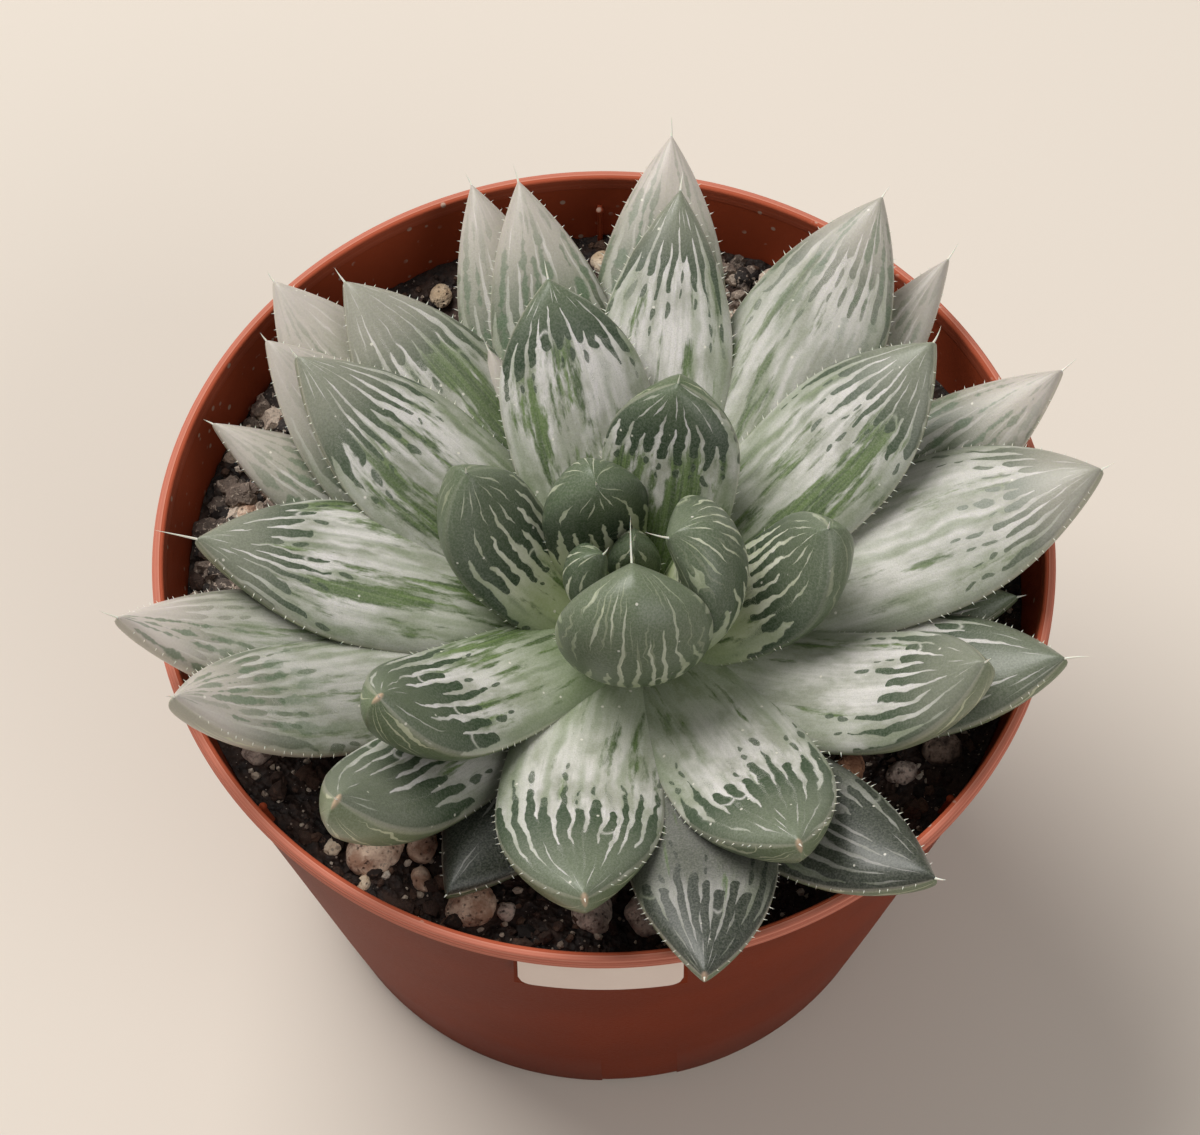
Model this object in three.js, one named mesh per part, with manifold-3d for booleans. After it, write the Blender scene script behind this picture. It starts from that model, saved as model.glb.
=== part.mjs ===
// Potted haworthia: a variegated rosette of fleshy leaves in a small round plastic pot.
// Millimetres, +Z up. The origin is on the pot's axis, at the level its foot stands on.
import * as THREE from 'three';
import { mergeVertices } from 'three/addons/utils/BufferGeometryUtils.js';
import Module from 'manifold-3d';

const wasm = await Module();
wasm.setup();

// Driving dimensions of the pot
const potDiameter = 85;
const potHeight = 57;
const footDiameter = 58;
const wallThickness = 0.8;
const floorThickness = 1.4;
const floorLift = 1;
const lipWidth = 1.1;
const lipHeight = 1.4;
const lipEdge = 0.2;
const wallInsetUnderLip = 0.5;
const footRingWidth = 2.5;
const notchWidth = 7.5;
const notchAngles = [-84, 6, 96, 186];
const padRadius = 6;
const drainHoleDiameter = 3.6;
const drainHoleCount = 8;
const drainHoleSides = 14;
const drainCircleRadius = 17;
const lugAngles = [90, 217.5, 322.5];
const lugTopBelowRim = 3.6;
const lugHeight = 12;
const lugWidth = 0.7;
const lugKnobWidth = 1.1;
const lugKnobHeight = 1.2;
const lugDepth = 0.8;
const softEdge = 0.4;
const innerCorner = 1.5;
const potSegments = 60;

// Driving dimensions of what the pot holds
const gap = 0.3;
const soilBelowRim = 7.6;
const soilDish = 1.2;
const soilLumpCount = 170;
const soilLumpHeight = 0.8;
const soilRings = 10;
const soilSectors = 44;
const labelWidth = 15.2;
const labelHeight = 4.9;
const labelThickness = 0.3;
const labelCorner = 1.3;
const labelAngle = -91;
const labelStrips = 14;
const labelGap = 0.2;
const labelPadMargin = 0.4;
const labelPadSlope = 1.1;
const stemX = 2.8;
const stemY = -7;
const stemRadius = 4.5;
const stemFootRadius = 3;
const stemDepth = 7;
const stemSides = 16;
const stemTopBelowRim = 1;

const potRadius = potDiameter / 2;
const footRadius = footDiameter / 2;
const soilLevel = potHeight - soilBelowRim;
const underLip = potHeight - lipHeight;
const wallRadiusUnderLip = potRadius - wallInsetUnderLip;
const wallTaper = (wallRadiusUnderLip - footRadius) / underLip;

const radians = THREE.MathUtils.degToRad;
const up = new THREE.Vector3(0, 0, 1);

// Radius of the pot's outer wall at a height, and of its inner wall
function outerRadius(z) {
  return footRadius + wallTaper * z;
}

function innerRadius(z) {
  return outerRadius(z) - wallThickness;
}

// A small repeatable source of random numbers from 0 to 1
function seededRandom(seed) {
  let state = seed;
  return () => {
    state = (state * 1664525 + 1013904223) % 4294967296;
    return state / 4294967296;
  };
}

// A closed solid from a three.js geometry, and the geometry of a solid
function toSolid(geometry) {
  const bare = geometry.index ? geometry : geometry.clone();
  bare.deleteAttribute('normal');
  bare.deleteAttribute('uv');
  const merged = mergeVertices(bare, 1e-4);
  const vertProperties = new Float32Array(merged.attributes.position.array);
  const triVerts = new Uint32Array(merged.index.array);
  return new wasm.Manifold(new wasm.Mesh({ numProp: 3, vertProperties, triVerts }));
}

function toGeometry(solid) {
  const mesh = solid.getMesh();
  const geometry = new THREE.BufferGeometry();
  geometry.setAttribute('position', new THREE.BufferAttribute(mesh.vertProperties, 3));
  geometry.setIndex(new THREE.BufferAttribute(mesh.triVerts, 1));
  return geometry;
}

// The outer skin of a solid: the largest of its closed skins, without the hollows inside it
function outerSkin(solid) {
  const parts = solid.decompose();
  const bySize = parts.sort((a, b) => b.volume() - a.volume());
  return bySize[0];
}

// Joins rings of points, given from one end to the other, into a closed skin.
// The first ring and the last are each closed by a fan round their middle.
function ringSolid(rings) {
  const count = rings[0].length;
  const positions = rings.flat().flatMap((point) => point.toArray());
  const index = [];
  for (let k = 0; k + 1 < rings.length; k += 1) {
    for (let j = 0; j < count; j += 1) {
      const a = k * count + j;
      const b = k * count + ((j + 1) % count);
      index.push(a, b, b + count, a, b + count, a + count);
    }
  }
  const lastRing = rings.length - 1;
  for (const [ring, first, forward] of [[rings[0], 0, false], [rings[lastRing], lastRing * count, true]]) {
    const middle = ring.reduce((sum, point) => sum.add(point), new THREE.Vector3()).divideScalar(count);
    const centre = positions.length / 3;
    positions.push(...middle.toArray());
    for (let j = 0; j < count; j += 1) {
      const a = first + j;
      const b = first + ((j + 1) % count);
      index.push(...(forward ? [a, b, centre] : [b, a, centre]));
    }
  }
  const geometry = new THREE.BufferGeometry();
  geometry.setAttribute('position', new THREE.Float32BufferAttribute(positions, 3));
  geometry.setIndex(index);
  return toSolid(geometry);
}

// The pot: one turned wall with a thick lip, a raised floor, a foot ring and a central pad
function turnedPot() {
  const floorTop = floorLift + floorThickness;
  const footInside = footRadius - footRingWidth;
  const lipInside = potRadius - lipWidth;
  const lipFoot = underLip - wallThickness;
  const edge = softEdge;
  const profile = [
    [0, 0],
    [padRadius, 0],
    [padRadius + edge, floorLift],
    [footInside - edge, floorLift],
    [footInside, 0],
    [footRadius - edge, 0],
    [footRadius, edge],
    [wallRadiusUnderLip, underLip],
    [potRadius - lipEdge, underLip],
    [potRadius, underLip + lipEdge],
    [potRadius, potHeight - lipEdge],
    [potRadius - lipEdge, potHeight],
    [lipInside + lipEdge, potHeight],
    [lipInside, potHeight - lipEdge],
    [innerRadius(lipFoot), lipFoot],
    [innerRadius(floorTop + innerCorner), floorTop + innerCorner],
    [innerRadius(floorTop) - innerCorner, floorTop],
    [0, floorTop],
  ];
  const points = profile.map(([radius, z]) => new THREE.Vector2(radius, z));
  const turned = new THREE.LatheGeometry(points, potSegments);
  turned.rotateX(Math.PI / 2);
  return toSolid(turned);
}

// A notch through the foot ring that lets water drain away
function footNotch(angle) {
  const notch = new THREE.BoxGeometry(footRingWidth * 3, notchWidth, floorLift * 2);
  notch.translate(footRadius - footRingWidth / 2, 0, 0);
  notch.rotateZ(radians(angle));
  return toSolid(notch);
}

function drainHole(angle) {
  const radius = drainHoleDiameter / 2;
  const hole = new THREE.CylinderGeometry(radius, radius, floorThickness * 4, drainHoleSides);
  hole.rotateX(Math.PI / 2);
  hole.translate(drainCircleRadius, 0, floorLift);
  hole.rotateZ(radians(angle));
  return toSolid(hole);
}

// A slim upright lug inside the wall, with a wider knob at its top, that keeps stacked pots apart;
// grow swells it for cutting the soil round it
function makeLug(angle, grow) {
  const top = potHeight - lugTopBelowRim;
  const foot = top - lugHeight;
  const knobFoot = top - lugKnobHeight;
  const levels = [
    [foot - grow, lugWidth],
    [knobFoot, lugWidth],
    [knobFoot + lugDepth / 4, lugKnobWidth],
    [top, lugKnobWidth],
  ];
  const rings = [];
  for (const [z, slimWidth] of levels) {
    const width = slimWidth + 2 * grow;
    const inside = innerRadius(z) - lugDepth - grow;
    const outside = innerRadius(z) + wallThickness / 2;
    const half = width / 2;
    const corners = [[inside, -half], [outside, -half], [outside, half], [inside, half]];
    rings.push(corners.map(([x, y]) => new THREE.Vector3(x, y, z).applyAxisAngle(up, radians(angle))));
  }
  return ringSolid(rings);
}

// Direction of a place on the label, a distance x round the wall from its middle
function labelHeading(x) {
  const angle = radians(labelAngle) + x / wallRadiusUnderLip;
  return new THREE.Vector3(Math.cos(angle), Math.sin(angle), 0);
}

// The upright pad on the tapering wall that the label sits on
function makeLabelPad() {
  const halfWidth = labelWidth / 2 + labelPadMargin;
  const foot = underLip - gap - labelHeight - labelPadMargin;
  const inside = wallThickness / 2;
  const corners = [
    [wallRadiusUnderLip - inside, underLip + inside],
    [wallRadiusUnderLip, underLip + inside],
    [wallRadiusUnderLip, foot],
    [outerRadius(foot - labelPadSlope) - inside, foot - labelPadSlope],
  ];
  const columns = [];
  for (let strip = 0; strip <= labelStrips; strip += 1) {
    const heading = labelHeading(halfWidth * ((2 * strip) / labelStrips - 1));
    columns.push(corners.map(([radius, z]) => heading.clone().multiplyScalar(radius).setZ(z)));
  }
  return ringSolid(columns);
}

function makePot() {
  let pot = turnedPot().add(makeLabelPad());
  for (const angle of lugAngles) {
    pot = pot.add(makeLug(angle, 0));
  }
  for (const angle of notchAngles) {
    pot = pot.subtract(footNotch(angle));
  }
  for (let hole = 0; hole < drainHoleCount; hole += 1) {
    pot = pot.subtract(drainHole((hole * 360) / drainHoleCount));
  }
  return pot;
}

// The leaves, from the heart of the rosette outward and down. Each row holds:
// turn    direction of the leaf's foot, in degrees from +X towards +Y
// foot    height of its foot above the rim, below it where negative
// length, width, thick
// rise    slope of the leaf at its foot, in degrees
// lift    slope at its tip, past 90 where the tip is hooded
// sway    how far the leaf turns sideways on its way, in degrees
// blunt   how long the leaf stays broad before its tip
const heartLeaves = [
  [90, 0.5, 9, 5, 4, 75, 90, 0, 2.0],
  [-170, 2, 12, 7, 4, 60, 130, 0, 2.0],
  [-92, 0, 20.5, 14.5, 7.5, 50, 150, 6, 2.8],
  [-8, -1.5, 21, 13.5, 6.5, 56, 146, 22, 2.6],
  [120, -1.5, 17.5, 10.5, 6.5, 47, 115, -12, 2.6],
];
const innerLeaves = [
  [70, -2, 24.5, 13, 6.5, 40, 80, 12, 2.6],
  [167, -3, 25, 11.5, 6.5, 32, 85, -32, 2.4],
  [-2, -3.5, 25.5, 12, 6.5, 30, 85, 15, 2.4],
];
const middleLeaves = [
  [-148, -1, 34, 12.5, 6, 10, 78, 8, 2.4],
  [105, -3, 33, 14.5, 6, 24, 42, 0, 2.4],
  [145, -4, 40, 14.5, 6.5, 18, 32, 0, 2.0],
  [37, -3, 38, 14.5, 6, 20, 40, 0, 2.2],
  [-112, -3, 36, 15.5, 6.5, 12, 40, 30, 2.2],
  [-58, -3, 36, 14.5, 6, 14, 50, -14, 2.2],
  [-31, -4, 38.5, 13, 6.5, 12, 62, 22, 2.6],
];
const outerLeaves = [
  [169, -4, 41.5, 15, 6.5, 14, 28, 12, 2.0],
  [15.5, -5, 46, 16.5, 6.5, 15, 32, -8, 2.2],
  [83, -5, 42, 13, 5.5, 20, 32, 0, 2.0],
  [58, -6, 47.5, 15.5, 6, 18, 32, 0, 2.2],
  [125, -6, 43, 14.5, 6, 16, 30, 12, 2.2],
  [104, -6, 45, 12.5, 5.5, 16, 28, 0, 2.0],
  [-165, -5, 48, 12.5, 6.5, 9, 52, 10, 2.4],
  [-145, -5, 43, 11.5, 7, 6, 72, 20, 2.6],
  [147, -6, 44, 14, 5.5, 14, 28, -8, 2.0],
];
const lowestLeaves = [
  [28, -7, 47, 12.5, 5.5, 14, 28, 0, 2.0],
  [85, -7, 49, 13, 5.5, 15, 28, 0, 2.2],
  [-63, -5, 42, 12.5, 6, 12, 28, 29, 2.2],
  [-17, -6, 41.5, 13.5, 6, 10, 36, 10, 2.2],
  [-174, -7, 50, 12.5, 6, 11, 40, 0, 2.0],
  [-70, -5, 41.8, 14, 5.5, 15, 22, -25, 2.2],
  [140, -7, 48, 14, 5.5, 12, 30, -8, 2.2],
  [109, -7, 47, 12, 5, 12, 26, 0, 2.0],
  [49, -7, 47, 9.5, 5, 11, 28, 0, 2.0],
  [154, -7, 44, 10, 5, 10, 22, 0, 2.0],
  [-122, -5, 32, 12, 5, 4, 14, 0, 1.8],
  [-128, -5, 23, 9, 4.5, 4, 14, 0, 1.8],
  [3, -6, 35, 11, 5, 6, 16, 0, 1.8],
  [117, -5, 30, 7, 4, 14, 28, 0, 1.8],
  [-70, -5, 25, 7.5, 4, 8, 22, 0, 1.8],
];
const leafRows = [...heartLeaves, ...innerLeaves, ...middleLeaves, ...outerLeaves, ...lowestLeaves];

const leafFootRadius = 1.5;
const leafFootWidth = 0.62;
const leafBroadest = 0.6;
const leafThickest = 0.65;
const leafUpperShare = 0.38;
const leafTipSize = 0.5;
const leafSections = [0, 0.12, 0.27, 0.42, 0.56, 0.7, 0.8, 0.89, 0.96, 1];
const leafSectionPoints = 10;

// Full width of a leaf at a share s of its length, from 0 at the foot to 1 at the tip
function leafWidthAt(s, width, blunt) {
  const swell = Math.sin((Math.PI / 2) * Math.min(s / leafBroadest, 1));
  const past = Math.max(0, (s - leafBroadest) / (1 - leafBroadest));
  const taper = 1 - past ** blunt;
  return Math.max(width * (leafFootWidth + (1 - leafFootWidth) * swell) * taper, leafTipSize);
}

function leafThicknessAt(s, thick) {
  const swell = 0.5 + 0.5 * Math.sin((Math.PI / 2) * Math.min(s / leafThickest, 1));
  const past = Math.max(0, (s - leafBroadest) / (1 - leafBroadest));
  return Math.max(thick * swell * Math.sqrt(1 - past ** 2.6), leafTipSize);
}

// One fleshy leaf: flat-bellied ellipses strung on a centre line that curves up to the tip
function makeLeaf([turn, foot, length, width, thick, rise, lift, sway, blunt]) {
  const along = (s) => {
    const heading = radians(turn + sway * s);
    const slope = radians(rise + (lift - rise) * s * s);
    return new THREE.Vector3(
      Math.cos(heading) * Math.cos(slope),
      Math.sin(heading) * Math.cos(slope),
      Math.sin(slope),
    );
  };
  const start = radians(turn);
  const point = new THREE.Vector3(Math.cos(start), Math.sin(start), 0).multiplyScalar(leafFootRadius);
  point.add(new THREE.Vector3(stemX, stemY, potHeight + foot));
  const steps = 50;
  const centreLine = [point.clone()];
  for (let step = 0; step < steps; step += 1) {
    point.addScaledVector(along((step + 0.5) / steps), length / steps);
    centreLine.push(point.clone());
  }
  const rings = leafSections.map((s) => {
    const centre = centreLine[Math.round(s * steps)];
    const heading = radians(turn + sway * s);
    const side = new THREE.Vector3(-Math.sin(heading), Math.cos(heading), 0);
    const top = along(s).cross(side);
    const halfWidth = leafWidthAt(s, width, blunt) / 2;
    const thickness = leafThicknessAt(s, thick);
    const ring = [];
    for (let j = 0; j < leafSectionPoints; j += 1) {
      const angle = (j / leafSectionPoints) * Math.PI * 2;
      const share = Math.sin(angle) > 0 ? leafUpperShare : 1 - leafUpperShare;
      const corner = centre.clone().addScaledVector(side, halfWidth * Math.cos(angle));
      ring.push(corner.addScaledVector(top, thickness * share * Math.sin(angle)));
    }
    return ring;
  });
  return ringSolid(rings);
}

// The short stem that the leaves grow from, standing in the soil
function makeStem(grow) {
  const top = potHeight - stemTopBelowRim;
  const bottom = soilLevel - stemDepth - grow;
  const stem = new THREE.CylinderGeometry(stemRadius + grow, stemFootRadius + grow, top - bottom, stemSides);
  stem.rotateX(Math.PI / 2);
  stem.translate(stemX, stemY, (top + bottom) / 2);
  return toSolid(stem);
}

function makeRosette(ground) {
  let rosette = makeStem(0);
  for (const row of leafRows) {
    rosette = rosette.add(makeLeaf(row));
  }
  return outerSkin(rosette.subtract(ground));
}

// Height of the soil's lumpy surface
const soilRandom = seededRandom(41);
const soilLumps = Array.from({ length: soilLumpCount }, () => {
  const radius = potRadius * Math.sqrt(soilRandom());
  const angle = soilRandom() * Math.PI * 2;
  const size = 1.4 + 1.6 * soilRandom();
  const height = soilLumpHeight * (soilRandom() - 0.35);
  return { x: radius * Math.cos(angle), y: radius * Math.sin(angle), size, height };
});

function soilHeight(x, y) {
  const relief = soilLumps.reduce((sum, lump) => {
    const away = ((x - lump.x) ** 2 + (y - lump.y) ** 2) / (lump.size * lump.size);
    return sum + lump.height * Math.exp(-away);
  }, 0);
  const dish = soilDish * (1 - (x * x + y * y) / innerRadius(soilLevel) ** 2);
  return soilLevel - dish + THREE.MathUtils.clamp(relief, -soilLumpHeight, soilLumpHeight);
}

// Loose stones on the soil: [x, y, radius, stretch, turn]
const stoneRows = [
  [-32.6, -16.6, 1.5, 1.15, 20],
  [-21.6, -27.4, 2.2, 1.35, 35],
  [-17.2, -26.6, 1.4, 1.5, 80],
  [-17.2, -30.2, 0.9, 1.5, 110],
  [-25.6, -26.8, 0.9, 1.1, 0],
  [-22.6, -30.6, 0.7, 1.2, 50],
  [-12.6, -33.2, 2.1, 1.15, 10],
  [-9.4, -33.6, 0.9, 1.2, 70],
  [-1.4, -33.8, 1.9, 1.2, 100],
  [3.6, -34.4, 1.8, 1.3, 120],
  [22.6, -19.4, 1.6, 1.3, 60],
  [31.4, -17.4, 1.8, 1.1, 0],
  [27.6, -19.8, 1.2, 1.3, 15],
  [0.4, 36.5, 1.3, 1.1, 0],
  [-15.6, 32.8, 1.1, 1.2, 100],
  [35.8, 1.1, 1.2, 1.3, 80],
  [-34.2, 8.6, 1.2, 1.2, 30],
  [-32.6, 11.8, 1.3, 1.1, 60],
];
const stoneSunk = 0.25;
const stoneFlatness = 0.8;

function makeStone([x, y, radius, stretch, turn], seed, grow) {
  const random = seededRandom(seed);
  const geometry = new THREE.IcosahedronGeometry(radius, 1);
  geometry.deleteAttribute('normal');
  geometry.deleteAttribute('uv');
  const stone = mergeVertices(geometry, 1e-4);
  const place = stone.attributes.position;
  const corner = new THREE.Vector3();
  for (let i = 0; i < place.count; i += 1) {
    corner.fromBufferAttribute(place, i);
    const bump = 0.86 + 0.26 * random();
    corner.multiplyScalar(bump + grow / radius);
    place.setXYZ(i, corner.x, corner.y, corner.z);
  }
  stone.scale(stretch, 1, stoneFlatness);
  stone.rotateZ(radians(turn));
  stone.translate(x, y, soilHeight(x, y) + radius * stoneSunk);
  return toSolid(stone);
}

// The soil fills the pot to just under the rim; grow swells it for cutting what rests on it
function makeSoil(grow) {
  const bottom = floorLift + floorThickness + gap;
  const wallGap = gap - grow;
  const ringAt = (radius, height) => Array.from({ length: soilSectors }, (_, sector) => {
    const angle = (sector / soilSectors) * Math.PI * 2;
    const x = radius * Math.cos(angle);
    const y = radius * Math.sin(angle);
    return new THREE.Vector3(x, y, height(x, y));
  });
  const shoulder = soilLevel - soilLumpHeight;
  const edge = innerRadius(shoulder) - wallGap;
  const cornerTop = bottom + innerCorner;
  const cornerRadius = innerRadius(cornerTop) - wallGap;
  const rings = [
    ringAt(cornerRadius - innerCorner, () => bottom),
    ringAt(cornerRadius, () => cornerTop),
    ringAt(edge, () => shoulder),
  ];
  for (let ring = soilRings; ring >= 1; ring -= 1) {
    rings.push(ringAt(((edge - gap) * ring) / soilRings, (x, y) => soilHeight(x, y) + grow));
  }
  return ringSolid(rings);
}

// The bare sticker under the lip, wrapped round its pad
function makeLabel() {
  const halfWidth = labelWidth / 2;
  const inside = wallRadiusUnderLip + labelGap;
  const outside = inside + labelThickness;
  const top = underLip - gap;
  const columns = [];
  for (let strip = 0; strip <= labelStrips; strip += 1) {
    const x = -halfWidth + (labelWidth * strip) / labelStrips;
    const inCorner = Math.max(0, Math.abs(x) - (halfWidth - labelCorner));
    const drop = labelHeight - labelCorner + Math.sqrt(Math.max(0, labelCorner ** 2 - inCorner ** 2));
    const corners = [[inside, top], [outside, top], [outside, top - drop], [inside, top - drop]];
    columns.push(corners.map(([radius, z]) => labelHeading(x).multiplyScalar(radius).setZ(z)));
  }
  return ringSolid(columns);
}

const plant = new THREE.Group();

function addNode(name, solid, color, roughness) {
  const material = new THREE.MeshStandardMaterial({ color, roughness, metalness: 0 });
  const mesh = new THREE.Mesh(toGeometry(solid), material);
  mesh.name = name;
  plant.add(mesh);
}

let soil = makeSoil(0).subtract(makeStem(gap));
const soilForCutting = makeSoil(gap).subtract(makeStem(gap));
const rosette = makeRosette(soilForCutting);
addNode('pot', makePot(), 0x9a4a38, 0.45);
addNode('label', makeLabel(), 0xe4d3c8, 0.6);
addNode('rosette', rosette, 0x8fa088, 0.4);
stoneRows.forEach((row, i) => {
  soil = soil.subtract(makeStone(row, 100 + i, gap));
  addNode(`stone_${String(i + 1).padStart(2, '0')}`, makeStone(row, 100 + i, 0), 0xb3a596, 0.9);
});
for (const angle of lugAngles) {
  soil = soil.subtract(makeLug(angle, gap));
}
addNode('soil', outerSkin(soil), 0x2c231f, 0.95);

export default plant;
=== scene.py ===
import math
import random

import bpy
from mathutils import Matrix, Vector, noise


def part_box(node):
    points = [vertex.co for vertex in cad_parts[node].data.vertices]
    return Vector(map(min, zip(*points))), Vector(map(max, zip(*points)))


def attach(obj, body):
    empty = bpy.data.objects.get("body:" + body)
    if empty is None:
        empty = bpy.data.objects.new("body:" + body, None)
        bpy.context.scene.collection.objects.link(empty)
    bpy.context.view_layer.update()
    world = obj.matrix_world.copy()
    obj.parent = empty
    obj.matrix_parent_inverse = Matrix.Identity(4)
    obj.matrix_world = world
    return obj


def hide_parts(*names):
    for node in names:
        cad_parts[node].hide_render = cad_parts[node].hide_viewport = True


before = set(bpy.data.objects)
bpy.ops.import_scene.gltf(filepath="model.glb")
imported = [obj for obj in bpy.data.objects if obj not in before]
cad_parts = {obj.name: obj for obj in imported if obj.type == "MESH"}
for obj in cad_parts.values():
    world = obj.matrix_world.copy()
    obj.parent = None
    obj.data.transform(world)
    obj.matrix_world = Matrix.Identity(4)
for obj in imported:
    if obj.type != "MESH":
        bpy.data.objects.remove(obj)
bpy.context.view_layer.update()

mm = 0.001
potLow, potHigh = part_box("pot")
rimHeight = potHigh.z
potRadius = potHigh.x
body = "root"


# Colours are given as on a screen, from 0 to 255, and turned into the linear values that shaders take
def rgb(*levels):
    linear = [((c / 255 + 0.055) / 1.055) ** 2.4 if c > 10 else c / 255 / 12.92 for c in levels]
    return (*linear, 1.0)


def smoothStep(low, high, value):
    share = min(1.0, max(0.0, (value - low) / (high - low)))
    return share * share * (3 - 2 * share)


# A number that varies over a surface: the output of a shader node, used in plain arithmetic
class Field:
    def __init__(self, tree, socket):
        self.tree = tree
        self.socket = socket

    def calc(self, operation, *others):
        node = self.tree.nodes.new("ShaderNodeMath")
        node.operation = operation
        for slot, value in zip(node.inputs, (self, *others)):
            plug(self.tree, slot, value)
        return Field(self.tree, node.outputs[0])

    def __add__(self, other):
        return self.calc("ADD", other)

    def __sub__(self, other):
        return self.calc("SUBTRACT", other)

    def __mul__(self, other):
        return self.calc("MULTIPLY", other)

    def __truediv__(self, other):
        return self.calc("DIVIDE", other)

    def __pow__(self, other):
        return self.calc("POWER", other)

    def flip(self):
        return self * -1 + 1

    def ramp(self, low, high):
        node = self.tree.nodes.new("ShaderNodeMapRange")
        node.interpolation_type = "SMOOTHSTEP"
        plug(self.tree, node.inputs["Value"], self)
        plug(self.tree, node.inputs["From Min"], low)
        plug(self.tree, node.inputs["From Max"], high)
        return Field(self.tree, node.outputs["Result"])

    def bell(self, centre, width):
        away = (self - centre) / width
        return (away * away * -1).calc("EXPONENT")


def plug(tree, slot, value):
    if isinstance(value, Field):
        tree.links.new(value.socket, slot)
    elif isinstance(value, bpy.types.NodeSocket):
        tree.links.new(value, slot)
    else:
        slot.default_value = value


def vectorOf(tree, x, y, z):
    node = tree.nodes.new("ShaderNodeCombineXYZ")
    for slot, value in zip(node.inputs, (x, y, z)):
        plug(tree, slot, value)
    return node.outputs[0]


# The place of a point on its piece, in millimetres
def objectPlace(tree):
    node = tree.nodes.new("ShaderNodeTexCoord")
    stretch = tree.nodes.new("ShaderNodeVectorMath")
    stretch.operation = "SCALE"
    tree.links.new(node.outputs["Object"], stretch.inputs[0])
    stretch.inputs["Scale"].default_value = 1 / mm
    return stretch.outputs[0]


def noiseField(tree, place, scale, detail=2.0, roughness=0.5):
    node = tree.nodes.new("ShaderNodeTexNoise")
    plug(tree, node.inputs["Vector"], place)
    node.inputs["Scale"].default_value = scale
    node.inputs["Detail"].default_value = detail
    node.inputs["Roughness"].default_value = roughness
    return Field(tree, node.outputs["Fac"])


def voronoiField(tree, place, scale):
    node = tree.nodes.new("ShaderNodeTexVoronoi")
    plug(tree, node.inputs["Vector"], place)
    node.inputs["Scale"].default_value = scale
    return Field(tree, node.outputs["Distance"])


# Three random numbers from 0 to 1 that are the same wherever x and y are the same
def randomFields(tree, x, y):
    node = tree.nodes.new("ShaderNodeTexWhiteNoise")
    plug(tree, node.inputs["Vector"], vectorOf(tree, x, y, 0.5))
    return separate(tree, node.outputs["Color"])


def separate(tree, socket):
    node = tree.nodes.new("ShaderNodeSeparateXYZ")
    tree.links.new(socket, node.inputs[0])
    return [Field(tree, output) for output in node.outputs]


def readAttribute(tree, name):
    node = tree.nodes.new("ShaderNodeAttribute")
    node.attribute_name = name
    return separate(tree, node.outputs["Vector"])


def mixColour(tree, share, first, second):
    node = tree.nodes.new("ShaderNodeMix")
    node.data_type = "RGBA"
    plug(tree, node.inputs[0], share)
    plug(tree, node.inputs[6], first)
    plug(tree, node.inputs[7], second)
    return node.outputs[2]


# A first colour with further ones laid over it, each given as its share and itself
def layColours(tree, colour, *coats):
    for share, coat in coats:
        colour = mixColour(tree, share, colour, coat)
    return colour


def newMaterial(name):
    material = bpy.data.materials.new(name)
    material.use_nodes = True
    return material, material.node_tree, material.node_tree.nodes["Principled BSDF"]


def addBump(tree, shader, height, depth):
    node = tree.nodes.new("ShaderNodeBump")
    node.inputs["Distance"].default_value = depth
    plug(tree, node.inputs["Height"], height)
    tree.links.new(node.outputs["Normal"], shader.inputs["Normal"])


# Selection, and what every finished piece gets
def clearSelection():
    if bpy.context.object and bpy.context.object.mode != "OBJECT":
        bpy.ops.object.mode_set(mode="OBJECT")
    bpy.ops.object.select_all(action="DESELECT")


def selectOnly(piece):
    clearSelection()
    piece.select_set(True)
    bpy.context.view_layer.objects.active = piece


def settle(piece):
    selectOnly(piece)
    bpy.ops.object.transform_apply(location=True, rotation=True, scale=True)


def applyModifiers(piece):
    selectOnly(piece)
    for modifier in list(piece.modifiers):
        bpy.ops.object.modifier_apply(modifier=modifier.name)


# Edit mode with all of the active piece selected
def startEdit(selectMode="VERT"):
    bpy.ops.object.mode_set(mode="EDIT")
    bpy.ops.mesh.select_mode(type=selectMode)
    bpy.ops.mesh.select_all(action="SELECT")


# Every face turned outwards, and back to object mode
def closeEdit():
    bpy.ops.mesh.select_all(action="SELECT")
    bpy.ops.mesh.normals_make_consistent(inside=False)
    bpy.ops.object.mode_set(mode="OBJECT")


def finishPiece(piece, name, materials, slot, *nodes, smoothAngle=35):
    piece.name = name
    piece.data.name = name
    piece.data.materials.clear()
    for material in materials:
        piece.data.materials.append(material)
    selectOnly(piece)
    bpy.ops.object.shade_smooth_by_angle(angle=math.radians(smoothAngle))
    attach(piece, body)
    if nodes:
        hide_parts(*nodes)


# Camera, at the photograph's angle
print("camera and light")
cameraSetup = {
    "elevation": 61.31,
    "distance": 580 * mm,
    "lens": 185.1,
    "roll": -0.64,
    "aimRight": -0.37 * mm,
    "aimUp": -1.46 * mm,
}


def addCamera(setup):
    tilt = math.radians(setup["elevation"])
    back = Vector((0, -math.cos(tilt), math.sin(tilt)))
    up = Vector((0, math.sin(tilt), math.cos(tilt)))
    right = Vector((1, 0, 0))
    aim = Vector((0, 0, rimHeight)) + right * setup["aimRight"] + up * setup["aimUp"]
    clearSelection()
    bpy.ops.object.camera_add(location=aim + back * setup["distance"])
    camera = bpy.context.object
    turn = Matrix((right, up, back)).transposed()
    camera.rotation_euler = (turn @ Matrix.Rotation(math.radians(setup["roll"]), 3, "Z")).to_euler()
    camera.data.lens = setup["lens"]
    camera.data.sensor_width = 36
    camera.data.clip_start = 0.01
    bpy.context.scene.camera = camera


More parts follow.
